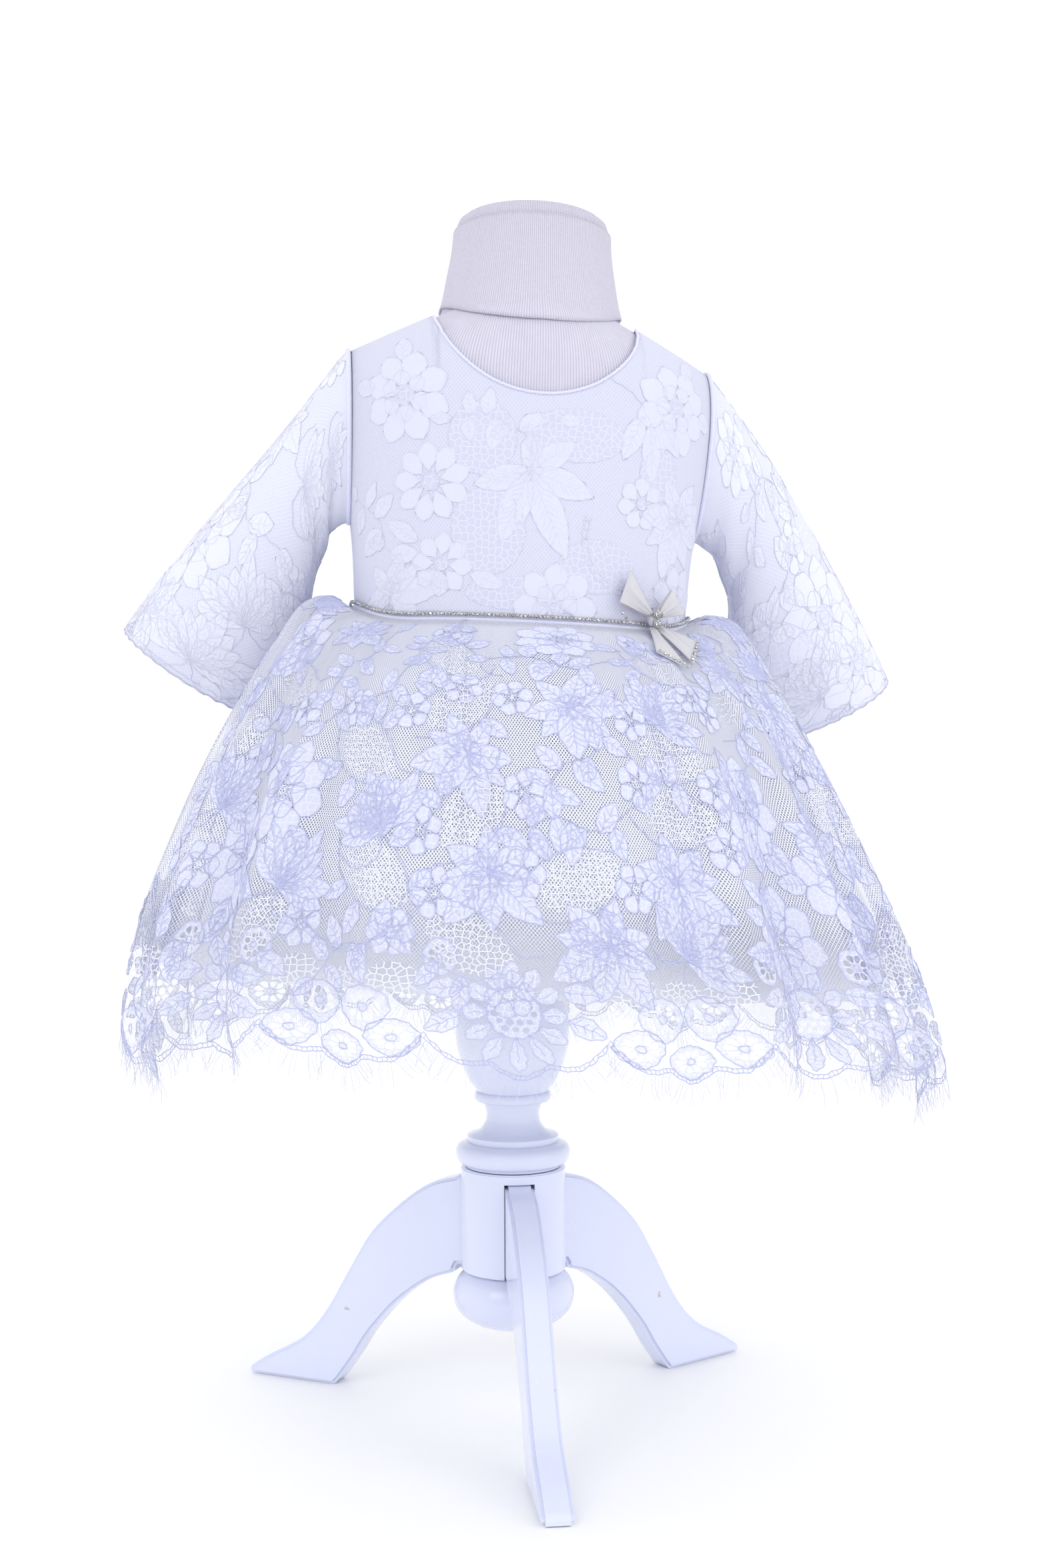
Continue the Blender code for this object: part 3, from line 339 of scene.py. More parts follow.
def paint_finish():
    material, shader = finish("gloss_paint", PAINT_COLOUR, 0.24)
    tree = material.node_tree
    where = node(tree, "TexCoord").outputs["Object"]
    brushed = node(tree, "TexNoise", {"Vector": where, "Scale": 60.0, "Detail": 3.0})
    shader_roughness = reckon(tree, "MULTIPLY_ADD", brushed.outputs[0], 0.18, 0.14)
    tree.links.new(shader_roughness, shader.inputs["Roughness"])
    height = node(tree, "SeparateXYZ", {0: where}).outputs[2]
    low = reckon(tree, "MULTIPLY_ADD", height, -30.0, 2.25)
    patch = node(tree, "TexNoise", {"Vector": where, "Scale": 95.0, "Detail": 4.0})
    rubbed = reckon(tree, "GREATER_THAN", reckon(tree, "MULTIPLY", patch.outputs[0], low), 0.45)
    rubbed = reckon(tree, "MULTIPLY", rubbed, reckon(tree, "GREATER_THAN", height, 0.050))
    cloudy = node(tree, "TexNoise", {"Vector": where, "Scale": 14.0})
    white = tint(tree, cloudy.outputs[0], tuple(c * 0.96 for c in PAINT_COLOUR), PAINT_COLOUR)
    mixed = node(tree, "Mix", {0: rubbed, 6: white, 7: (*RUBBED_COLOUR, 1.0)}, data_type="RGBA")
    tree.links.new(mixed.outputs[2], shader.inputs["Base Color"])
    shader.inputs["Coat Weight"].default_value = 0.5
    shader.inputs["Coat Roughness"].default_value = 0.08
    raise_by(tree, shader, brushed.outputs[0], 0.0003)
    return material


def mesh_of(body, name):
    """The mesh of a bmesh, which is then freed."""
    mesh = bpy.data.meshes.new(name)
    body.to_mesh(mesh)
    body.free()
    return mesh


def turn_on_lathe(name, profile):
    """A closed turned shape from points (radius, z) that run down its outer side."""
    turns = np.linspace(0.0, math.tau, STAND_SIDES, endpoint=False)
    radius, z = np.array(profile).T
    points = np.stack([
        radius[:, None] * np.cos(turns), radius[:, None] * np.sin(turns),
        np.broadcast_to(z[:, None], (len(z), STAND_SIDES)),
    ], axis=-1) + AXIS
    lengths = np.zeros((len(z), STAND_SIDES + 1, 2))
    mesh = grid_mesh(name, points, lengths, flip=True, ends=True)
    mesh.set_sharp_from_angle(angle=math.radians(40))
    return mesh


paint = paint_finish()
column_profile = [(0.0140, 0.4032), (0.0150, 0.4022), (0.0150, 0.2885)]
column_profile += curve_through([(0.0165, 0.2880), (0.0200, 0.2865), (0.0207, 0.2820), (0.0200, 0.2790)], 9)
column_profile += curve_through([
    (0.0200, 0.2788), (0.0250, 0.2720), (0.0325, 0.2560), (0.0357, 0.2400), (0.0345, 0.2240),
    (0.0290, 0.2080), (0.0226, 0.1982),
], 40)
column_profile += curve_through([(0.0230, 0.1981), (0.0240, 0.1965), (0.0240, 0.1935), (0.0228, 0.1921)], 7)
column_profile += curve_through([
    (0.0190, 0.1919), (0.0172, 0.1870), (0.0166, 0.1830), (0.0176, 0.1785), (0.0215, 0.1735),
    (0.0278, 0.1712),
], 22)
column_profile += [(0.0286, 0.1708), (0.0288, 0.1700), (0.0288, 0.1676), (0.0284, 0.1669)]
column_profile += curve_through([
    (0.0300, 0.1667), (0.0345, 0.1645), (0.0362, 0.1600), (0.0345, 0.1550), (0.0305, 0.1528),
], 18)
column_profile += [(0.0298, 0.1526), (0.0298, HUB_TOP_Z + 0.0004)]
add_piece(
    "turned_column", turn_on_lathe("turned_column", column_profile), paint, "paint", "stand_column"
)
ball_profile = [(0.0265, HUB_FLOOR_Z - 0.0003)]
ball_profile += curve_through([
    (0.0300, 0.0858), (0.0355, 0.0805), (0.0382, 0.0720), (0.0352, 0.0620), (0.0250, 0.0540),
    (0.0110, 0.0505),
], 26)
add_piece("turned_ball", turn_on_lathe("turned_ball", ball_profile), paint, "paint", "stand_ball")

body = bmesh.new()
bmesh.ops.create_cone(
    body, cap_ends=True, segments=STAND_SIDES, radius1=HUB_RADIUS, radius2=HUB_RADIUS,
    depth=HUB_TOP_Z - HUB_FLOOR_Z,
)
hub_middle = Vector(AXIS) + Vector((0, 0, (HUB_TOP_Z + HUB_FLOOR_Z) / 2))
bmesh.ops.translate(body, verts=body.verts, vec=hub_middle)
rims = [edge for edge in body.edges if abs(edge.verts[0].co.z - edge.verts[1].co.z) < 1e-6]
bmesh.ops.bevel(body, geom=rims, offset=0.0008, segments=2, affect="EDGES")
hub = put_in_scene("slotted_hub_uncut", mesh_of(body, "slotted_hub"))
LEG_DIRECTIONS = {"leg_front": -90.0, "leg_right": 30.0, "leg_left": 150.0}
slots = []
for name, degrees in LEG_DIRECTIONS.items():
    body = bmesh.new()
    bmesh.ops.create_cube(body, size=1.0)
    direction = math.radians(degrees)
    for vert in body.verts:
        reach = SLOT_REACH + (vert.co.x + 0.5) * SLOT_LENGTH
        side = vert.co.y * (LEG_THICKNESS + 0.0008)
        vert.co = (
            AXIS[0] + reach * math.cos(direction) - side * math.sin(direction),
            AXIS[1] + reach * math.sin(direction) + side * math.cos(direction),
            SLOT_LOW_Z + (vert.co.z + 0.5) * (SLOT_TOP_Z + SLOT_ROOM - SLOT_LOW_Z),
        )
    slot = put_in_scene("slot", mesh_of(body, "slot"))
    cut = hub.modifiers.new("cut", "BOOLEAN")
    cut.object = slot
    slots.append(slot)


def settled(thing, name):
    """The finished mesh of an object with modifiers, which is then removed."""
    graph = bpy.context.evaluated_depsgraph_get()
    mesh = bpy.data.meshes.new_from_object(thing.evaluated_get(graph))
    mesh.name = name
    bpy.data.objects.remove(thing, do_unlink=True)
    return mesh


hub_mesh = settled(hub, "slotted_hub")
hub_mesh.shade_smooth()
hub_mesh.set_sharp_from_angle(angle=math.radians(35))
add_piece("slotted_hub", hub_mesh, paint, "paint", "stand_hub")
for slot in slots:
    bpy.data.objects.remove(slot, do_unlink=True)

leg_outline = [
    (0.0196, HUB_FLOOR_Z + SLOT_ROOM), (0.0196, SLOT_TOP_Z - SLOT_ROOM), (0.0335, SLOT_TOP_Z - 0.0006),
]
leg_outline += curve_through([
    (0.0360, 0.1425), (0.0530, 0.1375), (0.0710, 0.1260), (0.0950, 0.1040), (0.1120, 0.0780),
    (0.1300, 0.0480), (0.1480, 0.0280), (0.1730, 0.0140), (0.1870, 0.0050),
], 40)
leg_outline += [(0.1880, 0.0032), (0.1876, 0.0008), (0.1862, 0.0), (0.1258, 0.0), (0.1240, 0.0006)]
leg_outline += curve_through([
    (0.1205, 0.0048), (0.1100, 0.0190), (0.0980, 0.0370), (0.0780, 0.0590), (0.0560, 0.0750),
    (0.0390, 0.0815),
], 26)
leg_outline += [(0.0375, 0.0830), (0.0372, 0.0850), (0.0358, HUB_FLOOR_Z + SLOT_ROOM)]
for name, degrees in LEG_DIRECTIONS.items():
    direction = math.radians(degrees)
    body = bmesh.new()
    face = body.faces.new([
        body.verts.new((
            AXIS[0] + radius * math.cos(direction) + LEG_THICKNESS / 2 * math.sin(direction),
            AXIS[1] + radius * math.sin(direction) - LEG_THICKNESS / 2 * math.cos(direction), z,
        ))
        for radius, z in leg_outline
    ])
    sideways = Vector((-math.sin(direction), math.cos(direction), 0.0)) * LEG_THICKNESS
    walls = bmesh.ops.extrude_face_region(body, geom=[face])
    moved = [part for part in walls["geom"] if isinstance(part, bmesh.types.BMVert)]
    bmesh.ops.translate(body, verts=moved, vec=sideways)
    bmesh.ops.recalc_face_normals(body, faces=body.faces)
    rims = [edge for edge in body.edges if any(len(f.verts) > 4 for f in edge.link_faces)]
    bmesh.ops.bevel(
        body, geom=rims, offset=LEG_EDGE_ROUND, segments=4, affect="EDGES", clamp_overlap=True
    )
    mesh = mesh_of(body, "sawn_" + name)
    mesh.shade_smooth()
    mesh.set_sharp_from_angle(angle=math.radians(45))
    add_piece("sawn_" + name, mesh, paint, "paint", name)


# The skirt's satin lining: a gathered tube sewn in at the waist, shorter than the lace, hemmed by
# machine. It hangs smoother than the layers over it.
SKIRT_LENGTH = 0.330
SKIRT_SWING_X = 0.0140
SKIRT_SWING_Y = -0.006
SKIRT_EXTRA_TILT = 0.017
CREST_AT = 1.9
CREST_SHARE = 0.45
SATIN_COLOUR = (0.93, 0.95, 1.0)
LINING_HEM_AT = 0.765
LINING_MEAN_RADIUS = 0.19
LINING_WALL = 0.0006
# down, half width, front depth, back depth, side z, front z, back z, squareness
SKIRT_RINGS = np.array([
    (0.000, 0.1028, 0.0808, 0.0728, 0.4951, 0.4831, 0.4891, 2.40),
    (0.012, 0.1070, 0.0838, 0.0768, 0.4948, 0.4812, 0.4880, 2.38),
    (0.040, 0.1170, 0.0880, 0.0850, 0.5010, 0.4780, 0.4900, 2.34),
    (0.090, 0.1340, 0.0980, 0.0990, 0.4960, 0.4690, 0.4850, 2.28),
    (0.170, 0.1510, 0.1130, 0.1150, 0.4700, 0.4540, 0.4620, 2.20),
    (0.270, 0.1685, 0.1290, 0.1300, 0.4400, 0.4280, 0.4330, 2.12),
    (0.400, 0.1900, 0.1470, 0.1460, 0.3980, 0.3900, 0.3920, 2.06),
    (0.540, 0.2100, 0.1610, 0.1590, 0.3510, 0.3480, 0.3470, 2.02),
    (0.700, 0.2305, 0.1760, 0.1720, 0.2970, 0.3020, 0.2970, 2.00),
    (0.870, 0.2430, 0.1870, 0.1820, 0.2400, 0.2590, 0.2500, 2.00),
    (1.000, 0.2440, 0.1910, 0.1850, 0.1990, 0.2340, 0.2200, 2.00),
])
# degrees from the front at the waist, the same at the hem, depth, half width in degrees
FOLDS = np.array([
    (-80, -76, 0.010, 7.0),
    (-62, -54, 0.019, 6.5),
    (-44, -35, 0.011, 6.0),
    (-14, -12, 0.004, 7.0),
    (22, 17, 0.011, 6.0),
    (38, 33, 0.018, 5.5),
    (54, 56, 0.020, 6.5),
    (74, 76, 0.012, 6.5),
    (101, 104, 0.012, 7.0),
    (126, 122, 0.017, 6.5),
    (147, 145, 0.012, 6.5),
    (172, 170, 0.016, 7.0),
    (-158, -161, 0.012, 6.5),
    (-134, -138, 0.018, 6.5),
    (-108, -110, 0.013, 7.0),
])
# inset and drop at the seam, inset high up and at the hem, drop, share of the folds
LACE_LAYER = (0.0, 0.0, 0.0, 0.0, 0.0, 1.0)
TULLE_LAYER = (0.0004, 0.0015, 0.0050, 0.0220, 0.0045, 0.30)
LINING_LAYER = (0.0008, 0.0030, 0.0110, 0.0340, 0.0090, 0.12)


def signed_power(value, power):
    return np.sign(value) * np.abs(value) ** power


def front_share(turn):
    return eased(1.25 * np.abs(np.sin(turn)))


def fold_shift(turn, down):
    from_front = np.degrees(turn) + 90.0
    shift = 0.0
    for waist_at, hem_at, depth, half_width in FOLDS:
        middle = waist_at + (hem_at - waist_at) * down
        reach = ((from_front - middle + 180.0) % 360.0 - 180.0) / half_width
        shift = shift + depth * (
            CREST_SHARE * np.exp(-((np.abs(reach) - CREST_AT) ** 2)) - np.exp(-(reach**2))
        )
    return shift * eased(down / 0.9) ** 0.8


def skirt_surface(turn, down, layer, extra=0.0):
    """Points of a skirt layer, at angles from +X and shares of the way from seam to hem."""
    seam_inset, seam_drop, high_inset, hem_inset, drop, fold_share = layer
    turn, down = np.broadcast_arrays(np.asarray(turn, float), np.asarray(down, float))
    shape = turn.shape
    turn, down = turn.ravel(), down.ravel()
    extra = np.broadcast_to(extra, shape).ravel()
    past = np.maximum(down - 1.0, 0.0) * SKIRT_LENGTH
    rings = rows_at(SKIRT_RINGS, down)
    half_width, front_depth, back_depth, side_z, front_z, back_z, squareness = rings
    cosine, sine = np.cos(turn), np.sin(turn)
    front = sine < 0
    depth = np.where(front, front_depth, back_depth)
    x = half_width * signed_power(cosine, 2.0 / squareness)
    y = depth * signed_power(sine, 2.0 / squareness)
    z = side_z + (np.where(front, front_z, back_z) - side_z) * front_share(turn) - past
    outward = np.stack([x / half_width**2, y / depth**2])
    outward /= np.linalg.norm(outward, axis=0)
    out = extra - seam_inset - high_inset * eased(down / 0.12)
    out = out - (hem_inset - high_inset) * down + fold_shift(turn, down) * fold_share
    z = z - seam_drop - drop * eased(down / 0.05)
    x, y = x + outward[0] * out, y + outward[1] * out
    tilt = math.sin(LEAN) + SKIRT_EXTRA_TILT * down
    lean_x = (z - LEAN_Z) * math.sin(LEAN) * (1.0 - down)
    points = np.stack([
        x + lean_x + SKIRT_SWING_X * down, y + FORM_Y + SKIRT_SWING_Y * down, z - x * tilt,
    ], axis=-1) + AXIS
    return points.reshape(*shape, 3)


def satin_finish(name, colour, sheen):
    material, shader = finish(name, colour, 0.42)
    tree = material.node_tree
    place = node(tree, "UVMap", uv_map="cloth").outputs[0]
    threads = node(tree, "Mapping", {0: place, 3: (2600.0, 320.0, 1.0)})
    weave = node(tree, "TexNoise", {"Vector": threads.outputs[0], "Scale": 1.0, "Detail": 2.0})
    cloudy = node(tree, "TexNoise", {"Vector": place, "Scale": 30.0, "Detail": 3.0})
    patchy = reckon(tree, "MULTIPLY", cloudy.outputs[0], 0.5)
    share = reckon(tree, "MULTIPLY_ADD", weave.outputs[0], 0.5, patchy)
    shade = tuple(c * 0.93 for c in colour)
    tree.links.new(tint(tree, share, shade, colour), shader.inputs["Base Color"])
    shader.inputs["Sheen Weight"].default_value = sheen
    shader.inputs["Anisotropic"].default_value = 0.4
    raise_by(tree, shader, weave.outputs[0], 0.0001, 0.6)
    return material


satin = satin_finish("satin", SATIN_COLOUR, 0.2)
lining_turns = np.linspace(0.0, math.tau, 260, endpoint=False)
lining_downs = np.concatenate([[0.0, 0.006, 0.012], np.linspace(0.02, LINING_HEM_AT, 60)])
turn_grid, down_grid = np.meshgrid(lining_turns, lining_downs)
ripple = 0.0016 * np.sin(9 * turn_grid + 0.8)
ripple = ripple + 0.0010 * np.sin(23 * turn_grid + 2.0 * np.sin(3 * turn_grid))
lining_points = skirt_surface(turn_grid, down_grid, LINING_LAYER, ripple * eased(down_grid / 0.4))
lining_lengths = flat_lengths(lining_turns, LINING_MEAN_RADIUS, lining_downs * SKIRT_LENGTH)
lining = add_piece(
    "satin_lining", grid_mesh("satin_lining", lining_points, lining_lengths, flip=True), satin,
    "satin", "skirt_lining",
)
give_wall(lining, LINING_WALL)


# The petticoat: a gathered tulle skirt between the lining and the lace, a fine open net with a raw
# wavy edge that shows below the lining.
TULLE_COLOUR = (0.88, 0.905, 1.0)
TULLE_CELL = 0.0016
TULLE_WAVES = 9
TULLE_HEM_AT = 0.95
TULLE_MEAN_RADIUS = 0.21


def net_threads(tree, place, cell_across, cell_up, thread):
    """1 on the threads of a diamond net and 0 in its holes."""
    across = reckon(tree, "DIVIDE", place.outputs[0], cell_across)
    up = reckon(tree, "DIVIDE", place.outputs[1], cell_up)
    rising = reckon(tree, "PINGPONG", reckon(tree, "ADD", across, up), 0.5)
    falling = reckon(tree, "PINGPONG", reckon(tree, "SUBTRACT", across, up), 0.5)
    nearest = reckon(tree, "MINIMUM", rising, falling)
    return reckon(tree, "LESS_THAN", nearest, thread)


def tulle_finish():
    material, shader = finish("tulle", TULLE_COLOUR, 0.7)
    tree = material.node_tree
    place = node(tree, "SeparateXYZ", {0: node(tree, "UVMap", uv_map="cloth").outputs[0]})
    thick = node(tree, "MapRange", {0: place.outputs[1], 1: 0.215, 2: 0.265, 3: 0.08, 4: 0.03})
    threads = net_threads(tree, place, TULLE_CELL, TULLE_CELL * 1.3, thick.outputs[0])
    tree.links.new(threads, shader.inputs["Alpha"])
    shader.inputs["Sheen Weight"].default_value = 0.3
    return material


tulle_turns = np.linspace(0.0, math.tau, 360, endpoint=False)
tulle_downs = np.concatenate([[0.0, 0.006, 0.012], np.linspace(0.02, TULLE_HEM_AT, 70)])
turn_grid, down_grid = np.meshgrid(tulle_turns, tulle_downs)
wave = np.sin(TULLE_WAVES * turn_grid)
fine = np.sin(31 * turn_grid + 2.5 * np.sin(2 * turn_grid + 1.0))
down_grid = down_grid + (0.012 * wave + 0.006 * fine) * eased((down_grid - 0.80) / 0.15)
swell = (0.003 * wave + 0.0012 * fine) * eased(down_grid / 0.9)
tulle_points = skirt_surface(turn_grid, down_grid, TULLE_LAYER, swell)
tulle_lengths = flat_lengths(tulle_turns, TULLE_MEAN_RADIUS, tulle_downs * SKIRT_LENGTH)
tulle = tulle_finish()
petticoat = add_piece(
    "tulle_petticoat", grid_mesh("tulle_petticoat", tulle_points, tulle_lengths, flip=True), tulle,
    "tulle", "petticoat_tulle",
)


# The lace skirt: corded lace, gathered into the waist seam and open over the tulle. Flowers and
# leaves are woven close on a diamond net and outlined with a thicker cord, and its lower border is
# a band of openwork rings and large flowers that ends in pointed scallops.
LACE_COLOUR = (0.82, 0.845, 0.985)
CLOSE_COLOUR = (0.745, 0.775, 0.955)
# The skirt's cords are painted much darker than the lace they are made with, as painted shade along the
# raised cords.
SHADED_CORD_COLOUR = (0.50, 0.53, 0.78)
LACE_CELL = 0.0022
WEB_CELL = 0.0042
CORD_RADIUS = 0.00030
VEIN_RADIUS = 0.00022
CORD_STEP = 0.0022
BORDER_TOP = 0.212
HALF_SCALLOPS = 8
SMALL_SCALLOPS = 3
SCALLOP_RISE = 0.026
SMALL_RISE = 0.009
HALF_GAP_ANGLE = 0.0018
LACE_COLUMNS = 261
LACE_ROWS = 50
BORDER_ROWS = 14
PATCH_LIFT = 0.00022


class LacePattern:
    """A lace design drawn flat: its cords, close-woven patches, webs and border cells, in metres.
    Shapes run from +X towards +Y, and patches and webs have sixteen corners."""

    def __init__(self):
        self.cords = []
        self.patches = []
        self.webs = []
        self.cells = []
        self.holes = []
        self.at(0.0, 0.0)

    def at(self, a, b, turn=0.0, size=1.0, widen=1.0):
        """Sets where the next motif goes: along and down the cloth, turned, scaled and widened."""
        self.origin = np.array((a, b))
        cosine, sine = math.cos(turn), math.sin(turn)
        self.frame = np.array(((cosine * widen, sine), (-sine * widen, cosine))) * size

    def put(self, points):
        return self.origin + np.asarray(points, float) @ self.frame

    def cord(self, points, radius=CORD_RADIUS, closed=False):
        points = self.put(points)
        if closed:
            points = np.vstack([points, points[:1]])
        self.cords.append((points, radius))

    def patch(self, points):
        self.patches.append(self.put(points))

    def web(self, points):
        self.webs.append(self.put(points))

    def cell(self, points, woven=1.0):
        self.cells.append((self.put(points), woven))

    def hole(self, points):
        self.holes.append(self.put(points))

    def leaf(self, x, y, turn, length, width, veins=4, full=0.85):
        """A pointed leaf from its stalk, with a midrib and side veins."""
        outline = pointed_oval(x, y, turn, length, width, full)
        self.patch(outline)
        self.cord(outline, closed=True)
        ahead = np.array((math.cos(turn), math.sin(turn)))
        aside = np.array((-ahead[1], ahead[0]))
        stalk = np.array((x, y))
        self.cord([stalk, stalk + ahead * length * 0.92], VEIN_RADIUS)
        for i in range(veins):
            root = stalk + ahead * length * (0.15 + 0.62 * i / max(veins, 1))
            for side in (-1, 1):
                tip = root + ahead * length * 0.13 + aside * side * width * 0.30
                self.cord([root, tip], VEIN_RADIUS)

    def flower(self, x, y, radius, petals, turn=0.0):
        """An open flower: petals round a small open eye."""
        for i in range(petals):
            petal_turn = turn + math.tau * i / petals
            root = (x + radius * 0.24 * math.cos(petal_turn), y + radius * 0.24 * math.sin(petal_turn))
            outline = pointed_oval(*root, petal_turn, radius * 0.76, radius * 4.4 / petals, 1.35)
            self.patch(outline)
            self.cord(outline, closed=True)
        self.web(ring(x, y, radius * 0.22, radius * 0.22, 16))
        self.cord(ring(x, y, radius * 0.22, radius * 0.22), closed=True)

    def ring_flower(self, x, y, half_width, half_height, holes=9, point=0.0):
        """A scale-shaped cell of the border, with long holes round a small eye."""
        turns = np.linspace(0.0, math.tau, 28, endpoint=False)
        lower = np.maximum(0.0, np.sin(turns))
        outline = np.stack([
            x + half_width * np.cos(turns) * (1.0 - 0.16 * point * lower),
            y + half_height * np.sin(turns) * (1.0 + 0.22 * point * lower**3),
        ], axis=-1)
        self.cell(outline)
        self.cord(outline, closed=True)
        for i in range(holes):
            turn = math.tau * (i + 0.5) / holes
            ahead = np.array((half_width * math.cos(turn), half_height * math.sin(turn)))
            length = np.linalg.norm(ahead)
            aside = np.array((-ahead[1], ahead[0])) / length
            steps = -np.linspace(0.0, math.tau, 10, endpoint=False)
            out = 0.50 - 0.22 * np.cos(steps)
            wide = length * 0.84 * out * math.sin(math.pi / holes) * np.sin(steps)
            self.hole((x, y) + out[:, None] * ahead + wide[:, None] * aside)
        self.cord(ring(x, y, half_width * 0.20, half_width * 0.20, 9), VEIN_RADIUS, closed=True)

    def great_flower(self, radius, petals, reach):
        """The border's large flower: a ring of petals round a corded ring with a honeycomb of holes."""
        for row in range(-3, 4):
            for column in range(-3, 4):
                x = (column + row * 0.5) * radius * 0.215 + radius * 0.02 * math.sin(7.0 * row + column)
                y = row * radius * 0.19 + radius * 0.02 * math.sin(5.0 * column + row)
                size = radius * (0.090 + 0.012 * math.sin(3.0 * row + 2.0 * column))
                if math.hypot(x, y) < radius * 0.52:
                    self.hole(ring(x, y, size, size * 0.9, 7))
        self.cell(ring(0.0, 0.0, radius * 0.62, radius * 0.62, 24))
        self.cord(ring(0.0, 0.0, radius * 0.62, radius * 0.62, 24), closed=True)
        for i in range(petals):
            turn = math.tau * i / petals
            down = max(0.0, math.sin(turn))
            long = radius * (0.62 + reach * down**2)
            root = (radius * 0.58 * math.cos(turn), radius * 0.58 * math.sin(turn))
            outline = pointed_oval(*root, turn, long, radius * 0.40, 1.25)
            self.patch(outline)
            self.cord(outline, closed=True)
            tip = (root[0] + long * 0.7 * math.cos(turn), root[1] + long * 0.7 * math.sin(turn))
            self.cord([root, tip], VEIN_RADIUS)

    def spray(self, kind):
        """A cluster for the open ground: flowers, leaf pairs, buds on a stem, a fan or a scroll."""
        if kind == 0:
            self.flower(0.0, -0.004, 0.033, 8, 0.3)
            self.flower(0.0, -0.004, 0.018, 6, 0.1)
            for turn, long in ((0.9, 0.026), (2.4, 0.024)):
                self.leaf(0.022 * math.cos(turn), 0.022 * math.sin(turn), turn, long, 0.013, 4)
        elif kind == 1:
            for turn, long, wide, veins in (
                (0.75, 0.043, 0.020, 6), (2.35, 0.041, 0.020, 6), (-0.45, 0.030, 0.016, 4),
                (-2.65, 0.031, 0.016, 4), (1.55, 0.034, 0.016, 5), (0.12, 0.032, 0.013, 4),
                (3.02, 0.032, 0.013, 4), (-1.55, 0.028, 0.014, 4),
            ):
                self.leaf(0.0, 0.0, turn, long, wide, veins)
            self.flower(0.0, 0.0, 0.010, 6)
        elif kind == 2:
            stem = curve_through([(-0.036, 0.024), (-0.012, 0.006), (0.012, 0.006), (0.036, -0.018)], 26)
            self.cord(stem)
            for x, y, turn, long in (
                (-0.036, 0.024, 2.6, 0.017), (-0.014, 0.008, -1.9, 0.022), (-0.004, 0.006, 1.3, 0.026),
                (0.014, 0.006, -1.2, 0.023), (0.022, 0.000, 1.0, 0.021), (0.036, -0.018, -0.5, 0.018),
                (-0.026, 0.017, 0.9, 0.020), (-0.024, 0.014, -2.2, 0.019), (0.006, 0.007, 2.1, 0.018),
            ):
                self.leaf(x, y, turn, long, long * 0.56, 3)
        elif kind == 3:
            for i in range(9):
                turn = 0.25 + 0.33 * i
                self.leaf(0.0, 0.014, -turn, 0.036 + 0.006 * math.sin(2.0 * i), 0.0125, 5, 1.1)
            self.cord(curve_through([(0.0, 0.014), (0.010, 0.026), (0.026, 0.024), (0.034, 0.010)], 20))
            self.cord(curve_through([(0.0, 0.014), (-0.010, 0.028), (-0.028, 0.026), (-0.036, 0.010)], 20))
        else:
            self.web(ring(0.0, 0.0, 0.028, 0.016, 16))
            for side in (-1, 1):
                self.cord(curve_through([
                    (-0.040, side * 0.004), (-0.022, side * 0.017), (0.006, side * 0.018),
                    (0.028, side * 0.008), (0.042, side * 0.014),
                ], 34))
                self.flower(side * 0.032, side * 0.016, 0.015, 6, 0.4)
                self.leaf(0.004 * side, side * 0.018, side * 1.3, 0.022, 0.012, 3)
                self.leaf(-0.012, side * 0.017, side * 1.9, 0.020, 0.010, 3)

    def arc(self, x, y, radius, start, end, gap=0.0032):
        """A double cord that bounds a stretch of plain net, with short bars between."""
        turns = np.linspace(start, end, 40)
        for r in (radius, radius + gap):
            self.cord(np.stack([x + r * np.cos(turns), y + r * np.sin(turns)], axis=-1))
        for turn in turns[::2]:
            cosine, sine = math.cos(turn), math.sin(turn)
            self.cord([
                (x + radius * cosine, y + radius * sine),
                (x + (radius + gap) * cosine, y + (radius + gap) * sine),
            ], VEIN_RADIUS)


def ring(x, y, across, up, sides=14):
    turns = np.linspace(0.0, math.tau, sides, endpoint=False)
    return np.stack([x + across * np.cos(turns), y + up * np.sin(turns)], axis=-1)


def pointed_oval(x, y, turn, length, width, full):
    """The outline of a petal or leaf from its root; full above 1 puts its widest place further out."""
    share = np.linspace(0.0, 1.0, 9)
    half = width / 2 * np.sin(np.pi * share**full) ** 0.85
    ahead = np.concatenate([share, share[-2:0:-1]]) * length
    aside = np.concatenate([-half, half[-2:0:-1]])
    cosine, sine = math.cos(turn), math.sin(turn)
    return np.stack([x + ahead * cosine - aside * sine, y + ahead * sine + aside * cosine], axis=-1)


def plain_ground(along, tops, lows, rows):
    """A part of flat cloth between its upper and lower edge: points, faces, how close it is woven."""
    share = np.linspace(0.0, 1.0, rows)[:, None]
    down = tops + (lows - tops) * share
    points = np.stack([np.broadcast_to(along, down.shape), down], axis=-1).reshape(-1, 2)
    count = len(along)
    first = (np.arange(rows - 1)[:, None] * count + np.arange(count - 1)).ravel()
    faces = np.stack([first, first + count, first + count + 1, first + 1], axis=-1).tolist()
    return points, faces, [0.0] * len(faces)


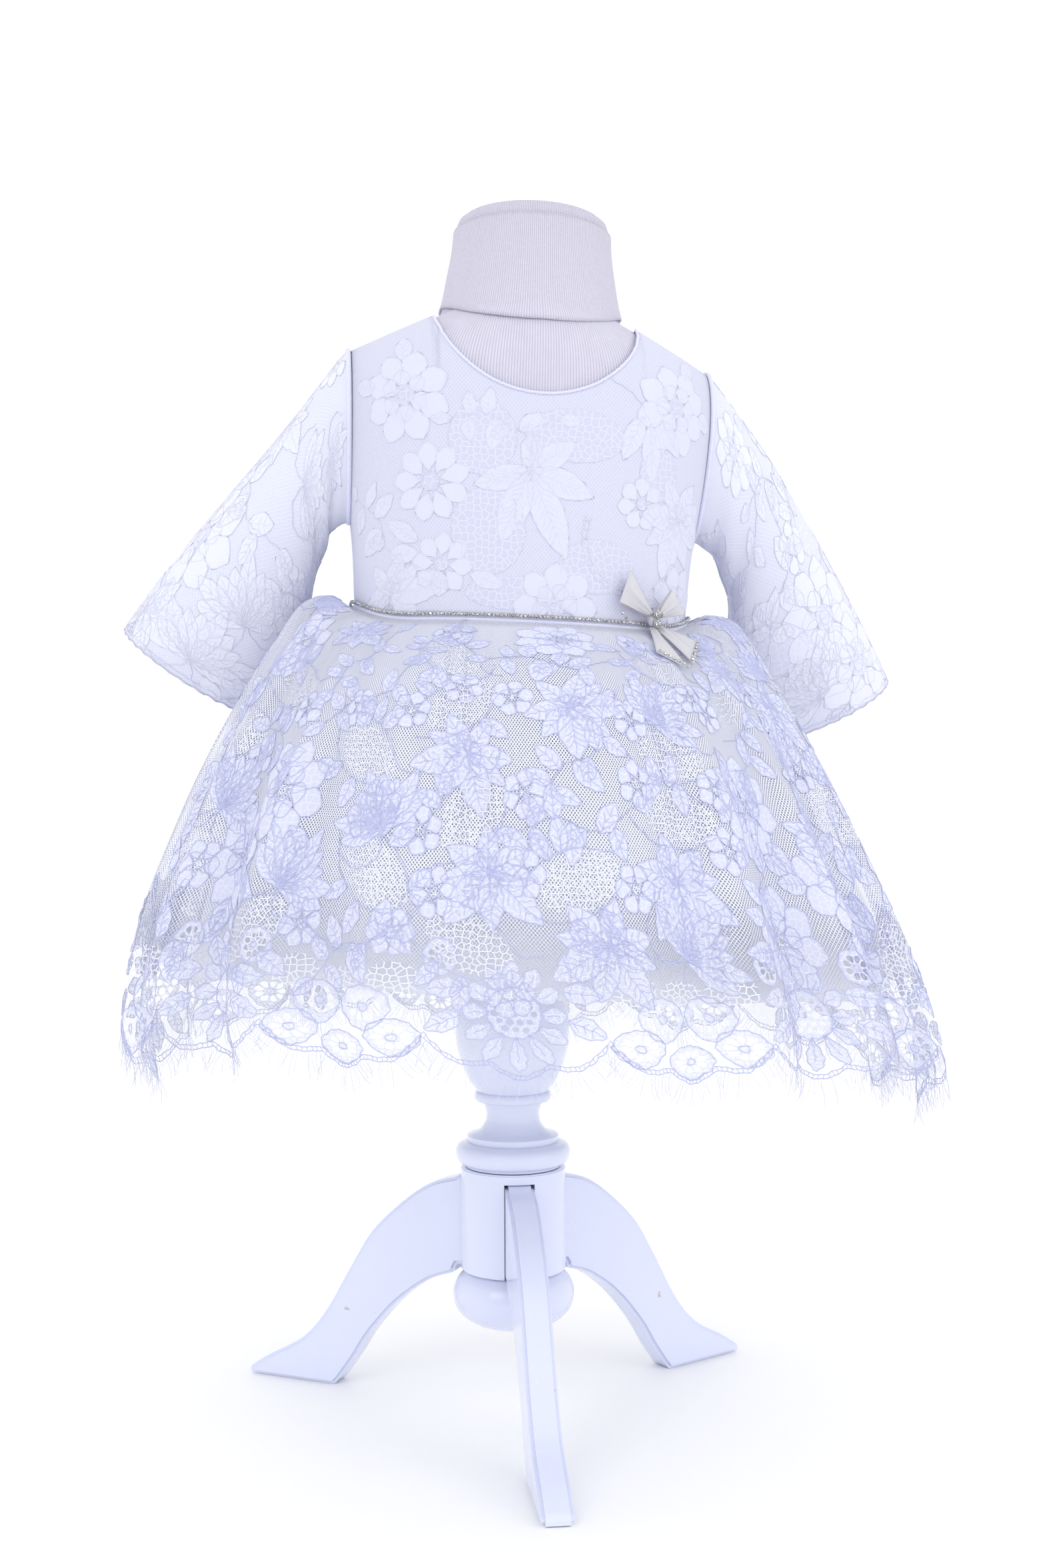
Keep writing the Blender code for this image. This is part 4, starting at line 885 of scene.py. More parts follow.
def cut_ground(outline, pattern, spacing):
    """A part of flat cloth with the pattern's holes cut out and its cells woven close."""
    low, high = outline.min(axis=0), outline.max(axis=0)
    points, shapes = [tuple(p) for p in outline], [list(range(len(outline)))]
    for shape in pattern.holes + [shape for shape, _ in pattern.cells]:
        shapes.append(list(range(len(points), len(points) + len(shape))))
        points += [tuple(p) for p in shape]
    across, down = np.meshgrid(
        np.arange(low[0] + spacing / 2, high[0], spacing), np.arange(low[1] + spacing / 2, high[1], spacing)
    )
    across[1::2] += spacing / 2
    points += list(zip(across.ravel(), down.ravel()))
    flat, _, triangles, _, _, owners = geometry.delaunay_2d_cdt(
        [Vector(p) for p in points], [], shapes, 1, 1e-7
    )
    holes = len(pattern.holes)
    faces, woven = [], []
    for triangle, inside in zip(triangles, owners):
        if 0 in inside and not any(0 < shape <= holes for shape in inside):
            faces.append(triangle[::-1])
            over = [pattern.cells[shape - holes - 1][1] for shape in inside if shape > holes]
            woven.append(max(over, default=0.0))
    return np.array([tuple(p) for p in flat]), faces, woven


def laid_shapes(shapes, woven):
    """Sixteen-cornered shapes as a part of cloth, each in rows of faces between its long sides."""
    shapes = np.array(shapes)
    share = np.linspace(0.0, 1.0, 5)[:, None]
    near, far = shapes[:, :9, None], shapes[:, [0, 15, 14, 13, 12, 11, 10, 9, 8], None]
    grid = near * (1.0 - share) + far * share
    inner = grid[:, 1:8].reshape(len(shapes), 35, 2)
    points = np.concatenate([grid[:, 0, :1], inner, grid[:, 8, :1]], axis=1).reshape(-1, 2)
    one = [(0, 2 + i, 1 + i) for i in range(4)] + [(31 + i, 32 + i, 36) for i in range(4)]
    for row in range(6):
        one += [(5 * row + 1 + i, 5 * row + 2 + i, 5 * row + 7 + i, 5 * row + 6 + i) for i in range(4)]
    faces = [[37 * number + i for i in face] for number in range(len(shapes)) for face in one]
    return points, faces, [woven] * len(faces)


def off_surface(place, a, b, out, nudge=0.0004):
    """Points at a distance off a surface, along its outward side."""
    here = place(a, b)
    normal = np.cross(place(a, b + nudge) - here, place(a + nudge, b) - here)
    return here + normal / (np.linalg.norm(normal, axis=-1, keepdims=True) + 1e-12) * out


def lengths_along(points):
    return np.concatenate([[0.0], np.cumsum(np.linalg.norm(np.diff(points, axis=0), axis=1))])


def woven_mesh(name, parts, place, lift=0.0):
    """The mesh of some parts of flat cloth in their place, joined where their edges meet."""
    flat, faces, woven, count = [], [], [], 0
    for points, some, values in parts:
        faces += [[count + i for i in face] for face in some]
        woven += values
        flat.append(points)
        count += len(points)
    flat = np.vstack(flat)
    corners = np.concatenate(faces)
    used = np.unique(corners)
    number = np.zeros(count, int)
    number[used] = np.arange(len(used))
    mesh = bpy.data.meshes.new(name)
    mesh.from_pydata(
        [tuple(p) for p in off_surface(place, flat[used, 0], flat[used, 1], lift)], [],
        [[number[i] for i in face] for face in faces],
    )
    mesh.uv_layers.new(name="cloth").data.foreach_set("uv", flat[corners].ravel())
    mesh.attributes.new("woven", "FLOAT", "FACE").data.foreach_set("value", woven)
    if not lift:
        body = bmesh.new()
        body.from_mesh(mesh)
        bmesh.ops.remove_doubles(body, verts=body.verts, dist=0.00002)
        body.to_mesh(mesh)
        body.free()
    mesh.shade_smooth()
    return mesh


def lay_patches(name, pattern, place, material):
    parts = [laid_shapes(pattern.webs, 0.5), laid_shapes(pattern.patches, 1.0)]
    return add_piece(name, woven_mesh(name, parts, place, PATCH_LIFT), material, "lace")


def geometry_tree(name, inputs):
    """A Geometry Nodes tree with named inputs; gives the tree, a node maker and its two ends."""
    tree = bpy.data.node_groups.new(name, "GeometryNodeTree")
    tree.interface.new_socket("Geometry", in_out="INPUT", socket_type="NodeSocketGeometry")
    for label, kind in inputs:
        tree.interface.new_socket(label, in_out="INPUT", socket_type="NodeSocket" + kind)
    tree.interface.new_socket("Geometry", in_out="OUTPUT", socket_type="NodeSocketGeometry")
    start, end = tree.nodes.new("NodeGroupInput"), tree.nodes.new("NodeGroupOutput")

    def add(kind, values=(), **settings):
        made = tree.nodes.new(kind)
        for key, value in settings.items():
            setattr(made, key, value)
        for key, value in dict(values).items():
            if isinstance(value, bpy.types.NodeSocket):
                tree.links.new(value, made.inputs[key])
            else:
                made.inputs[key].default_value = value
        return made

    return tree, add, start, end


def end_tree(tree, add, start, end, shape):
    """Ends a tree: its instances are made real and take the finish."""
    real = add("GeometryNodeRealizeInstances", {0: shape})
    painted = add("GeometryNodeSetMaterial", {0: real.outputs[0], "Material": start.outputs["Finish"]})
    tree.links.new(painted.outputs[0], end.inputs[0])
    return tree


def grown(name, mesh, tree, values):
    """The plain mesh that a tree makes on another mesh, with its inputs set by their identifiers."""
    thing = put_in_scene(name + "_paths", mesh)
    modifier = thing.modifiers.new("tree", "NODES")
    modifier.node_group = tree
    for socket in tree.interface.items_tree:
        if socket.in_out == "INPUT" and socket.name in values:
            modifier[socket.identifier] = values[socket.name]
    return settled(thing, name)


def cord_tree():
    """Round cords along the mesh's edges, as thick as the attribute on their points says."""
    tree, add, start, end = geometry_tree("laid_cord", [("Sides", "Int"), ("Finish", "Material")])
    paths = add("GeometryNodeMeshToCurve", {0: start.outputs["Geometry"]})
    thick = add("GeometryNodeInputNamedAttribute", {"Name": "cord_radius"}, data_type="FLOAT")
    sides = start.outputs["Sides"]
    section = add("GeometryNodeCurvePrimitiveCircle", {"Resolution": sides, "Radius": 1.0})
    tube = add("GeometryNodeCurveToMesh", {
        "Curve": paths.outputs[0], "Profile Curve": section.outputs[0], "Scale": thick.outputs[0],
        "Fill Caps": True,
    })
    return end_tree(tree, add, start, end, tube.outputs[0])


laid_cord = cord_tree()


def evenly(points, step):
    """The same path with points at even steps."""
    lengths = lengths_along(points)
    count = max(2, int(round(lengths[-1] / step)) + 1)
    at = np.linspace(0.0, lengths[-1], count)
    return np.stack([np.interp(at, lengths, points[:, i]) for i in (0, 1)], axis=-1)


def lay_cords(name, pattern, place, material, lift=0.0003, sides=3):
    """All the cords of a pattern, laid on the cloth's surface as tubes."""
    paths = [(evenly(points, CORD_STEP), radius) for points, radius in pattern.cords]
    flat = np.vstack([points for points, _ in paths])
    flat = flat + 0.0005 * np.sin(flat[:, ::-1] * (760.0, 910.0))
    radii = np.concatenate([np.full(len(points), radius) for points, radius in paths])
    edges, first = [], 0
    for points, _ in paths:
        edges += [(first + i, first + i + 1) for i in range(len(points) - 1)]
        first += len(points)
    mesh = bpy.data.meshes.new(name)
    mesh.from_pydata([tuple(p) for p in off_surface(place, flat[:, 0], flat[:, 1], lift)], edges, [])
    mesh.attributes.new("cord_radius", "FLOAT", "POINT").data.foreach_set("value", radii)
    made = grown(name, mesh, laid_cord, {"Sides": sides, "Finish": material})
    made.shade_smooth()
    return made


def lace_finish(name, light, close, shaded_backing=None):
    """Diamond net with close-woven patches; over a backing the holes show the backing's colour, painted
    darker than the satin as painted shade under the net.
    """
    material, shader = finish(name, light, 0.75)
    tree = material.node_tree
    uv = node(tree, "UVMap", uv_map="cloth").outputs[0]
    place = node(tree, "SeparateXYZ", {0: uv})
    kind = node(tree, "Attribute", attribute_name="woven").outputs["Fac"]
    woven = reckon(tree, "GREATER_THAN", kind, 0.75)
    web = reckon(tree, "GREATER_THAN", kind, 0.25)
    thick = 0.12
    if not shaded_backing:
        thick = node(
            tree, "MapRange", {0: place.outputs[1], 1: 0.190, 2: 0.245, 3: 0.20, 4: 0.04}
        ).outputs[0]
    threads = net_threads(tree, place, LACE_CELL, LACE_CELL * 1.25, thick)
    cells = node(
        tree, "TexVoronoi", {"Vector": uv, "Scale": 1.0 / WEB_CELL, "Randomness": 0.75},
        feature="DISTANCE_TO_EDGE", voronoi_dimensions="2D",
    )
    strands = reckon(tree, "LESS_THAN", cells.outputs["Distance"], 0.085)
    open_part = node(tree, "Mix", {0: web, 2: threads, 3: strands}).outputs[0]
    fine = net_threads(tree, place, LACE_CELL * 0.42, LACE_CELL * 0.42, 0.17)
    least = node(tree, "MapRange", {0: place.outputs[1], 1: 0.205, 2: 0.255, 3: 0.74, 4: 0.42})
    close_part = reckon(tree, "MULTIPLY_ADD", fine, 0.22, least.outputs[0])
    close_part = reckon(tree, "MULTIPLY", woven, close_part)
    solid = reckon(tree, "MAXIMUM", open_part, close_part)
    cloudy = node(tree, "TexNoise", {"Vector": uv, "Scale": 60.0, "Detail": 3.0})
    share = reckon(tree, "MULTIPLY", woven, reckon(tree, "MULTIPLY_ADD", fine, -0.40, 0.95))
    patchy = reckon(tree, "MULTIPLY_ADD", cloudy.outputs[0], 0.20, -0.04)
    colour = tint(tree, reckon(tree, "ADD", share, patchy), light, close)
    if shaded_backing:
        mixed = node(tree, "Mix", {0: solid, 6: (*shaded_backing, 1.0), 7: colour}, data_type="RGBA")
        colour = mixed.outputs[2]
    else:
        tree.links.new(solid, shader.inputs["Alpha"])
    tree.links.new(colour, shader.inputs["Base Color"])
    shader.inputs["Sheen Weight"].default_value = 0.2
    height = reckon(tree, "ADD", solid, reckon(tree, "MULTIPLY", fine, 0.5))
    raise_by(tree, shader, height, 0.0003, 0.7)
    return material


def cord_finish(name, colour):
    material, shader = finish(name, colour, 0.45)
    tree = material.node_tree
    where = node(tree, "TexCoord").outputs["Object"]
    twist = node(tree, "TexNoise", {"Vector": where, "Scale": 900.0, "Detail": 2.0})
    light = tuple(min(1.0, c * 1.3) for c in colour)
    tree.links.new(tint(tree, twist.outputs[0], colour, light), shader.inputs["Base Color"])
    shader.inputs["Sheen Weight"].default_value = 0.3
    raise_by(tree, shader, twist.outputs[0], 0.0002)
    return material


open_lace = lace_finish("open_lace", LACE_COLOUR, CLOSE_COLOUR)
cord = cord_finish("lace_cord", SHADED_CORD_COLOUR)


def hem_height(scallops):
    """How far the edge lies above the lowest points, at a count of large scallops."""
    large = np.abs(2.0 * (scallops % 1.0) - 1.0)
    small = np.abs(2.0 * (scallops * SMALL_SCALLOPS % 1.0) - 1.0)
    return SCALLOP_RISE * large**1.7 + SMALL_RISE * small**1.5


def skirt_half(half, first, last):
    """The mapping of one half of the lace from flat cloth to its place, and the half's width."""
    turns = np.linspace(first, last, 400)
    hem = skirt_surface(turns, 0.85, LACE_LAYER)
    lengths = lengths_along(hem)
    width = lengths[-1]

    def place(a, b):
        turn = np.interp(a, lengths, turns)
        down = b / SKIRT_LENGTH
        gathers = np.sin(a * 260.0 + 3.0 * np.sin(a * 41.0)) * 0.0010
        return skirt_surface(turn, down, LACE_LAYER, gathers * eased(down / 0.06) * (1.0 - 0.5 * down))

    return place, width


def border(pattern, pitch, scallop):
    """The openwork border over one large scallop: rings, or a large flower with its leaves."""
    middle = pitch * (scallop + 0.5)
    cell = pitch / SMALL_SCALLOPS
    if scallop % 2:
        pattern.at(middle, SKIRT_LENGTH - 0.056, 0.0, 1.35, 0.80)
        pattern.great_flower(0.0215, 12, 0.45)
        for side in (-1, 1):
            pattern.leaf(side * 0.026, 0.002, math.pi / 2 - side * 1.15, 0.020, 0.011, 3)
            pattern.leaf(side * 0.024, -0.012, -side * 0.6 + math.pi / 2 - side * 0.9, 0.020, 0.010, 2)
            pattern.ring_flower(side * 0.036, -0.026, 0.0088, 0.0088, 8)
        return
    for row in range(3):
        count = SMALL_SCALLOPS - row % 2
        for column in range(count):
            across = (column + 0.5 - count / 2) * cell
            low = float(hem_height((middle + across) / pitch))
            above = 0.0215 + low * (1.0, 0.8, 0.45)[row] + row * 0.0240
            pattern.at(middle + across, SKIRT_LENGTH - above)
            if row < 2:
                pattern.ring_flower(0.0, 0.0, cell * 0.48, 0.0142, 9, 1.0)
            else:
                pattern.cell(ring(0.0, 0.0, cell * 0.48, 0.0115), 0.5)


def edge_cords(pattern, width):
    pattern.at(0.0, 0.0)
    along = np.linspace(0.0, width, int(width / 0.0012))
    height = hem_height(along / width * HALF_SCALLOPS)
    for above, radius in ((0.0010, CORD_RADIUS * 1.15), (0.0050, CORD_RADIUS)):
        pattern.cord(np.stack([along, SKIRT_LENGTH - height - above], axis=-1), radius)
    for a in np.arange(0.001, width, 0.0026):
        low = SKIRT_LENGTH - float(hem_height(a / width * HALF_SCALLOPS))
        pattern.cord([(a, low - 0.0010), (a, low - 0.0050)], VEIN_RADIUS)


def skirt_pattern(width, seed):
    pattern = LacePattern()
    pitch = width / HALF_SCALLOPS
    for scallop in range(HALF_SCALLOPS):
        border(pattern, pitch, scallop)
    edge_cords(pattern, width)
    chance = np.random.default_rng(seed)
    # distance down the cloth, motifs in a row, widening, size
    rows = (
        (0.230, 11, 0.85, 1.10), (0.188, 12, 0.90, 1.05), (0.150, 11, 1.00, 1.00), (0.114, 10, 1.15, 0.92),
        (0.080, 9, 1.35, 0.84), (0.048, 8, 1.60, 0.74), (0.022, 7, 2.00, 0.58),
    )
    for number, (down, count, widen, size) in enumerate(rows):
        for i in range(count):
            a = width * (i + 0.5 + 0.5 * (number % 2)) / count + chance.uniform(-0.007, 0.007)
            if 0.036 < a < width - 0.036:
                pattern.at(a, down + chance.uniform(-0.005, 0.005), chance.uniform(-0.9, 0.9), size, widen)
                pattern.spray(int((2 * i + number * 3 + chance.integers(0, 2)) % 5))
    for i in range(0, HALF_SCALLOPS, 2):
        pattern.at(pitch * (i + 0.5), 0.196, 0.0, 1.0, 1.05)
        pattern.arc(0.0, 0.0, 0.040, 0.15, math.pi - 0.15)
    return pattern


HALVES = (
    ("front", -math.pi + HALF_GAP_ANGLE, -HALF_GAP_ANGLE, 3),
    ("back", HALF_GAP_ANGLE, math.pi - HALF_GAP_ANGLE, 7),
)
for half, first, last, seed in HALVES:
    place, width = skirt_half(half, first, last)
    pattern = skirt_pattern(width, seed)
    across = np.linspace(0.0, width, LACE_COLUMNS)
    plain = plain_ground(across, np.zeros(LACE_COLUMNS), np.full(LACE_COLUMNS, BORDER_TOP), LACE_ROWS)
    along = np.linspace(0.0, width, HALF_SCALLOPS * SMALL_SCALLOPS * 12 + 1)
    hem = np.stack([along, SKIRT_LENGTH - hem_height(along / width * HALF_SCALLOPS)], axis=-1)
    side = np.linspace(BORDER_TOP, hem[0, 1], BORDER_ROWS + 2)[1:-1]
    outline = np.vstack([
        plain[0][-LACE_COLUMNS:], np.stack([np.full(BORDER_ROWS, width), side], axis=-1), hem[::-1],
        np.stack([np.zeros(BORDER_ROWS), side[::-1]], axis=-1),
    ])
    cut = cut_ground(outline, pattern, 0.0055)
    ground = woven_mesh("lace_skirt_" + half, [plain, cut], place)
    skirt = add_piece("lace_skirt_" + half, ground, open_lace, "lace", "skirt_lace_" + half)
    lay_patches("skirt_motifs_" + half, pattern, place, open_lace)
    cords = lay_cords("skirt_cords_" + half, pattern, place, cord)
    add_piece("skirt_cords_" + half, cords, cord, "lace")


# The eyelash fringe: ends of the lace's own threads, left hanging below its corded edge. They are
# uneven in length and fan out round each small scallop.
FRINGE_COLOUR = (0.72, 0.745, 0.92)
FRINGE_SPACING = 0.0019
FRINGE_LENGTH = 0.0125
FRINGE_THREAD = 0.00015


def fringe_tree():
    tree, add, start, end = geometry_tree("hanging_threads", [
        ("Spacing", "Float"), ("Length", "Float"), ("Thread", "Float"), ("Seed", "Int"),
        ("Finish", "Material"),
    ])
    inputs = start.outputs
    path = add("GeometryNodeMeshToCurve", {0: inputs["Geometry"]})
    even = add(
        "GeometryNodeResampleCurve", {"Curve": path.outputs[0], "Length": inputs["Spacing"]},
        mode="LENGTH",
    )
    bend = add("GeometryNodeCurveQuadraticBezier", {
        "Resolution": 4, "Start": (0.0, 0.0, 0.0), "Middle": (0.16, 0.05, 0.5), "End": (-0.03, 0.0, 1.0),
    })
    slender = add("ShaderNodeMath", {0: inputs["Thread"], 1: inputs["Length"]}, operation="DIVIDE")
    section = add("GeometryNodeCurvePrimitiveCircle", {"Resolution": 3, "Radius": slender.outputs[0]})
    thread = add("GeometryNodeCurveToMesh", {
        "Curve": bend.outputs[0], "Profile Curve": section.outputs[0], "Fill Caps": True,
    })
    hang = add("GeometryNodeInputNamedAttribute", {"Name": "hang"}, data_type="FLOAT_VECTOR")
    turned = add("FunctionNodeAlignRotationToVector", {"Vector": hang.outputs[0]}, axis="Z")
    sway = add(
        "FunctionNodeRandomValue", {0: (-0.30, -0.30, 0.0), 1: (0.30, 0.30, 6.28), "Seed": inputs["Seed"]},
        data_type="FLOAT_VECTOR",
    )
    swayed = add("FunctionNodeEulerToRotation", {0: sway.outputs[0]})
    facing = add(
        "FunctionNodeRotateRotation", {0: turned.outputs[0], 1: swayed.outputs[0]},
        rotation_space="LOCAL",
    )
    size = add("FunctionNodeRandomValue", {2: 0.62, 3: 1.15, "Seed": inputs["Seed"]}, data_type="FLOAT")
    long = add("ShaderNodeMath", {0: size.outputs[1], 1: inputs["Length"]}, operation="MULTIPLY")
    threads = add("GeometryNodeInstanceOnPoints", {
        "Points": even.outputs[0], "Instance": thread.outputs[0], "Rotation": facing.outputs[0],
        "Scale": long.outputs[0],
    })
    return end_tree(tree, add, start, end, threads.outputs[0])


hanging_threads = fringe_tree()
fringe_finish, _ = finish("fringe_thread", FRINGE_COLOUR, 0.6)
for half, first, last, seed in HALVES:
    place, width = skirt_half(half, first, last)
    along = np.linspace(0.0, width, HALF_SCALLOPS * SMALL_SCALLOPS * 12 + 1)
    edge = np.stack([along, SKIRT_LENGTH - hem_height(along / width * HALF_SCALLOPS)], axis=-1)
    ahead = np.gradient(edge, axis=0)
    ahead /= np.linalg.norm(ahead, axis=1, keepdims=True)
    outward = np.stack([-ahead[:, 1], ahead[:, 0]], axis=-1) * 0.8 + (0.0, 0.55)
    roots = place(edge[:, 0], edge[:, 1])
    within = edge - outward * 0.002
    hang = roots - place(within[:, 0], within[:, 1])
    hang = hang / np.linalg.norm(hang, axis=1, keepdims=True) + (0.0, 0.0, -0.35)
    mesh = bpy.data.meshes.new("fringe_path")
    mesh.from_pydata([tuple(p) for p in roots], [(i, i + 1) for i in range(len(roots) - 1)], [])
    mesh.attributes.new("hang", "FLOAT_VECTOR", "POINT").data.foreach_set("vector", hang.ravel())
    name = "eyelash_fringe_" + half
    threads = grown(name, mesh, hanging_threads, {
        "Spacing": FRINGE_SPACING, "Length": FRINGE_LENGTH, "Thread": FRINGE_THREAD, "Seed": seed,
        "Finish": fringe_finish,
    })
    add_piece(name, threads, fringe_finish, "lace", "hem_fringe_" + half)


# The bodice: a front and two backs of the same corded lace, each sewn as one with a white satin
# backing, joined at the shoulders and sides. The backs meet edge to edge at the centre back, and
# the neckline is turned in.
BODICE_COLOUR = (0.735, 0.75, 0.905)
BODICE_CLOSE = (0.72, 0.735, 0.895)
# The backing colour is painted darker than the white satin, as painted shade under the lace's net.
SHADED_BACKING_COLOUR = (0.63, 0.645, 0.82)
BODICE_CORD = (0.65, 0.665, 0.83)
SEAM_COLOUR = (0.60, 0.615, 0.77)
WAIST_Z = 0.496
UNDERARM_Z = 0.548
BODICE_OUT = 0.0014
BODICE_WALL = 0.0011
BACK_GAP = 0.0004
BODICE_COLUMNS = 61
NECK_DROPS = {"front": 0.058, "back": 0.010}
WAIST_DIPS = {"front": 0.012, "back": 0.006}


def bodice_edge_x(z):
    underarm_x = rows_at(BODY_RINGS, UNDERARM_Z)[0]
    above = np.clip((z - UNDERARM_Z) / (SHOULDER_TIP_Z - UNDERARM_Z), 0.0, 1.0)
    armhole = underarm_x + (SHOULDER_TIP_X - underarm_x) * above
    return np.where(z <= UNDERARM_Z, rows_at(BODY_RINGS, z)[0], armhole)


class BodiceCloth:
    """One side of the bodice as flat cloth: along from its middle, and down from the neck point."""

    def __init__(self, side):
        self.side = side
        quarter = np.linspace(math.pi / 2, 0.0, BODICE_COLUMNS)
        self.shares = np.cos(quarter) ** (2.0 / BODY_SQUARENESS)
        self.numbers = np.arange(BODICE_COLUMNS, dtype=float)
        self.shares[0] = 0.0
        rest = self.body(self.shares, np.full(BODICE_COLUMNS, UNDERARM_Z))
        self.arcs = lengths_along(rest)
        self.columns = []
        neck_share = NECK_POINT_X / SHOULDER_TIP_X
        for share in self.shares:
            turn = math.acos(min(share, 1.0) ** (BODY_SQUARENESS / 2))
            low = WAIST_Z - WAIST_DIPS[side] * float(front_share(turn))
            drop = math.sqrt(max(0.0, 1.0 - (share / neck_share) ** 2)) * NECK_DROPS[side]
            top = NECK_POINT_Z - drop if share < neck_share else float(shoulder_z(share * SHOULDER_TIP_X))
            z = top - (top - low) * np.linspace(0.0, 1.0, 120) ** 2
            line = self.body(np.full(120, share), z)
            downs = lengths_along(line)
            self.columns.append((downs + NECK_POINT_Z - low - downs[-1], z))

    def body(self, share, z):
        x = share * bodice_edge_x(z)
        depth = body_depth(x, z, self.side == "front") + BODICE_OUT
        if self.side == "front":
            return np.stack([x, -depth, z], axis=-1)
        return np.stack([-x, depth, z], axis=-1)

    def edges(self, along):
        """The flat cloth's top and bottom at a place along it."""
        column = np.interp(np.abs(along), self.arcs, self.numbers)
        tops = np.array([downs[0] for downs, _ in self.columns])
        lows = np.array([downs[-1] for downs, _ in self.columns])
        return np.interp(column, self.numbers, tops), np.interp(column, self.numbers, lows)

    def place(self, along, down):
        along, down = np.broadcast_arrays(np.asarray(along, float), np.asarray(down, float))
        column = np.interp(np.abs(along), self.arcs, self.numbers)
        first = np.minimum(column.astype(int), BODICE_COLUMNS - 2)
        z = np.zeros(along.shape)
        for i in range(BODICE_COLUMNS - 1):
            mine = first == i
            if mine.any():
                near = np.interp(down[mine], *self.columns[i])
                far = np.interp(down[mine], *self.columns[i + 1])
                z[mine] = near + (far - near) * (column[mine] - i)
        share = np.interp(column, self.numbers, self.shares)
        points = self.body(share, z)
        points[..., 0] *= np.where(along < 0, -1.0, 1.0)
        return on_form(points)


def fan(pattern, x, y, leaves):
    """Large veined leaves that spread from one point, with small ones between."""
    pattern.at(x, y)
    for turn, length, width in leaves:
        pattern.leaf(0.0, 0.0, turn, length, width, 8, 0.95)
    pattern.flower(0.0, 0.0, 0.0075, 6)


def bodice_pattern(side):
    pattern = LacePattern()
    fan(pattern, -0.006, 0.104, (
        (0.35, 0.040, 0.017), (1.15, 0.056, 0.019), (1.95, 0.046, 0.018), (2.85, 0.034, 0.015),
        (-0.60, 0.032, 0.014), (-1.55, 0.024, 0.012),
    ))
    pattern.at(-0.064, 0.112, 0.4)
    pattern.flower(0.0, 0.0, 0.024, 9)
    pattern.at(-0.058, 0.160, 0.1)
    pattern.flower(0.0, 0.0, 0.019, 8)
    pattern.leaf(-0.016, -0.012, 3.6, 0.024, 0.011)
    pattern.leaf(0.018, 0.004, 0.2, 0.022, 0.010)
    pattern.at(-0.092, 0.140, 1.2, 0.9)
    pattern.spray(2)
    pattern.at(0.056, 0.086, 0.25)
    pattern.leaf(0.0, -0.020, 1.75, 0.030, 0.013)
    pattern.leaf(0.006, -0.018, 1.25, 0.036, 0.013)
    pattern.leaf(0.012, -0.022, 0.65, 0.026, 0.012)
    pattern.cord(curve_through([(0.004, -0.020), (-0.008, -0.030), (-0.030, -0.036)], 16))
    pattern.flower(0.014, 0.030, 0.016, 7)
    pattern.at(0.092, 0.124, -0.5, 0.95)
    pattern.spray(1)
    pattern.at(0.060, 0.140)
    pattern.arc(0.0, 0.0, 0.031, 0.35, math.pi + 0.35)
    pattern.at(0.012, 0.186, -0.3, 0.8)
    pattern.spray(0)
    pattern.at(-0.020, 0.072, 0.5, 0.75)
    pattern.spray(2)
    pattern.at(-0.084, 0.058, 2.4, 0.9)
    pattern.spray(0)
    pattern.at(0.088, 0.056, -2.2, 0.9)
    pattern.spray(0)
    pattern.at(-0.092, 0.176, -0.8, 0.8)
    pattern.spray(1)
    pattern.at(0.098, 0.178, 0.9, 0.8)
    pattern.spray(0)
    for x, y, across, down in (
        (0.020, 0.082, 0.030, 0.016), (-0.034, 0.086, 0.020, 0.022), (-0.030, 0.140, 0.022, 0.026),
        (0.036, 0.158, 0.024, 0.016), (-0.010, 0.176, 0.034, 0.010), (0.074, 0.100, 0.014, 0.016),
    ):
        pattern.at(x, y)
        pattern.web(ring(0.0, 0.0, across, down, 16))
    return pattern


def trimmed(pattern, cloth, first, last, margin=0.0015):
    """The pattern with what lies outside the cloth cut off."""
    kept = LacePattern()

    def inside(points):
        tops, lows = cloth.edges(points[:, 0])
        across = (points[:, 0] > first + margin) & (points[:, 0] < last - margin)
        return across & (points[:, 1] > tops + margin) & (points[:, 1] < lows - margin)

    for points, radius in pattern.cords:
        points = evenly(points, 0.0012)
        run = []
        for point, good in zip(points, inside(points)):
            if good:
                run.append(point)
                continue
            if len(run) > 2:
                kept.cords.append((np.array(run), radius))
            run = []
        if len(run) > 2:
            kept.cords.append((np.array(run), radius))
    for shapes, stay in ((pattern.patches, kept.patches), (pattern.webs, kept.webs)):
        for points in shapes:
            if inside(points).mean() < 0.6:
                continue
            tops, lows = cloth.edges(points[:, 0])
            stay.append(np.stack([
                np.clip(points[:, 0], first + margin, last - margin),
                np.clip(points[:, 1], tops + margin, lows - margin),
            ], axis=-1))
    return kept


lined_lace = lace_finish("lined_lace", BODICE_COLOUR, BODICE_CLOSE, SHADED_BACKING_COLOUR)
raised_cord = cord_finish("raised_cord", BODICE_CORD)
seam_cloth = cord_finish("turned_seam", SEAM_COLOUR)
cloths = {side: BodiceCloth(side) for side in ("front", "back")}
half_span = cloths["front"].arcs[-1]
BODICE_PANELS = (
    ("bodice_front", "front", -half_span, half_span),
    ("bodice_back_right", "back", -half_span, -BACK_GAP),
    ("bodice_back_left", "back", BACK_GAP, half_span),
)
for name, side, first, last in BODICE_PANELS:
    cloth = cloths[side]
    first = max(first, -cloth.arcs[-1])
    last = min(last, cloth.arcs[-1])
    pattern = trimmed(bodice_pattern(side), cloth, first, last)
    along = np.linspace(first, last, 240)
    mesh = woven_mesh("lace_" + name, [plain_ground(along, *cloth.edges(along), 44)], cloth.place)
    panel = add_piece("lace_" + name, mesh, lined_lace, "lace", name)
    give_wall(panel, BODICE_WALL, -1.0)
    lay_patches("motifs_" + name, pattern, cloth.place, lined_lace)
    cords = lay_cords("cords_" + name, pattern, cloth.place, raised_cord, 0.0002)
    add_piece("cords_" + name, cords, raised_cord, "lace")


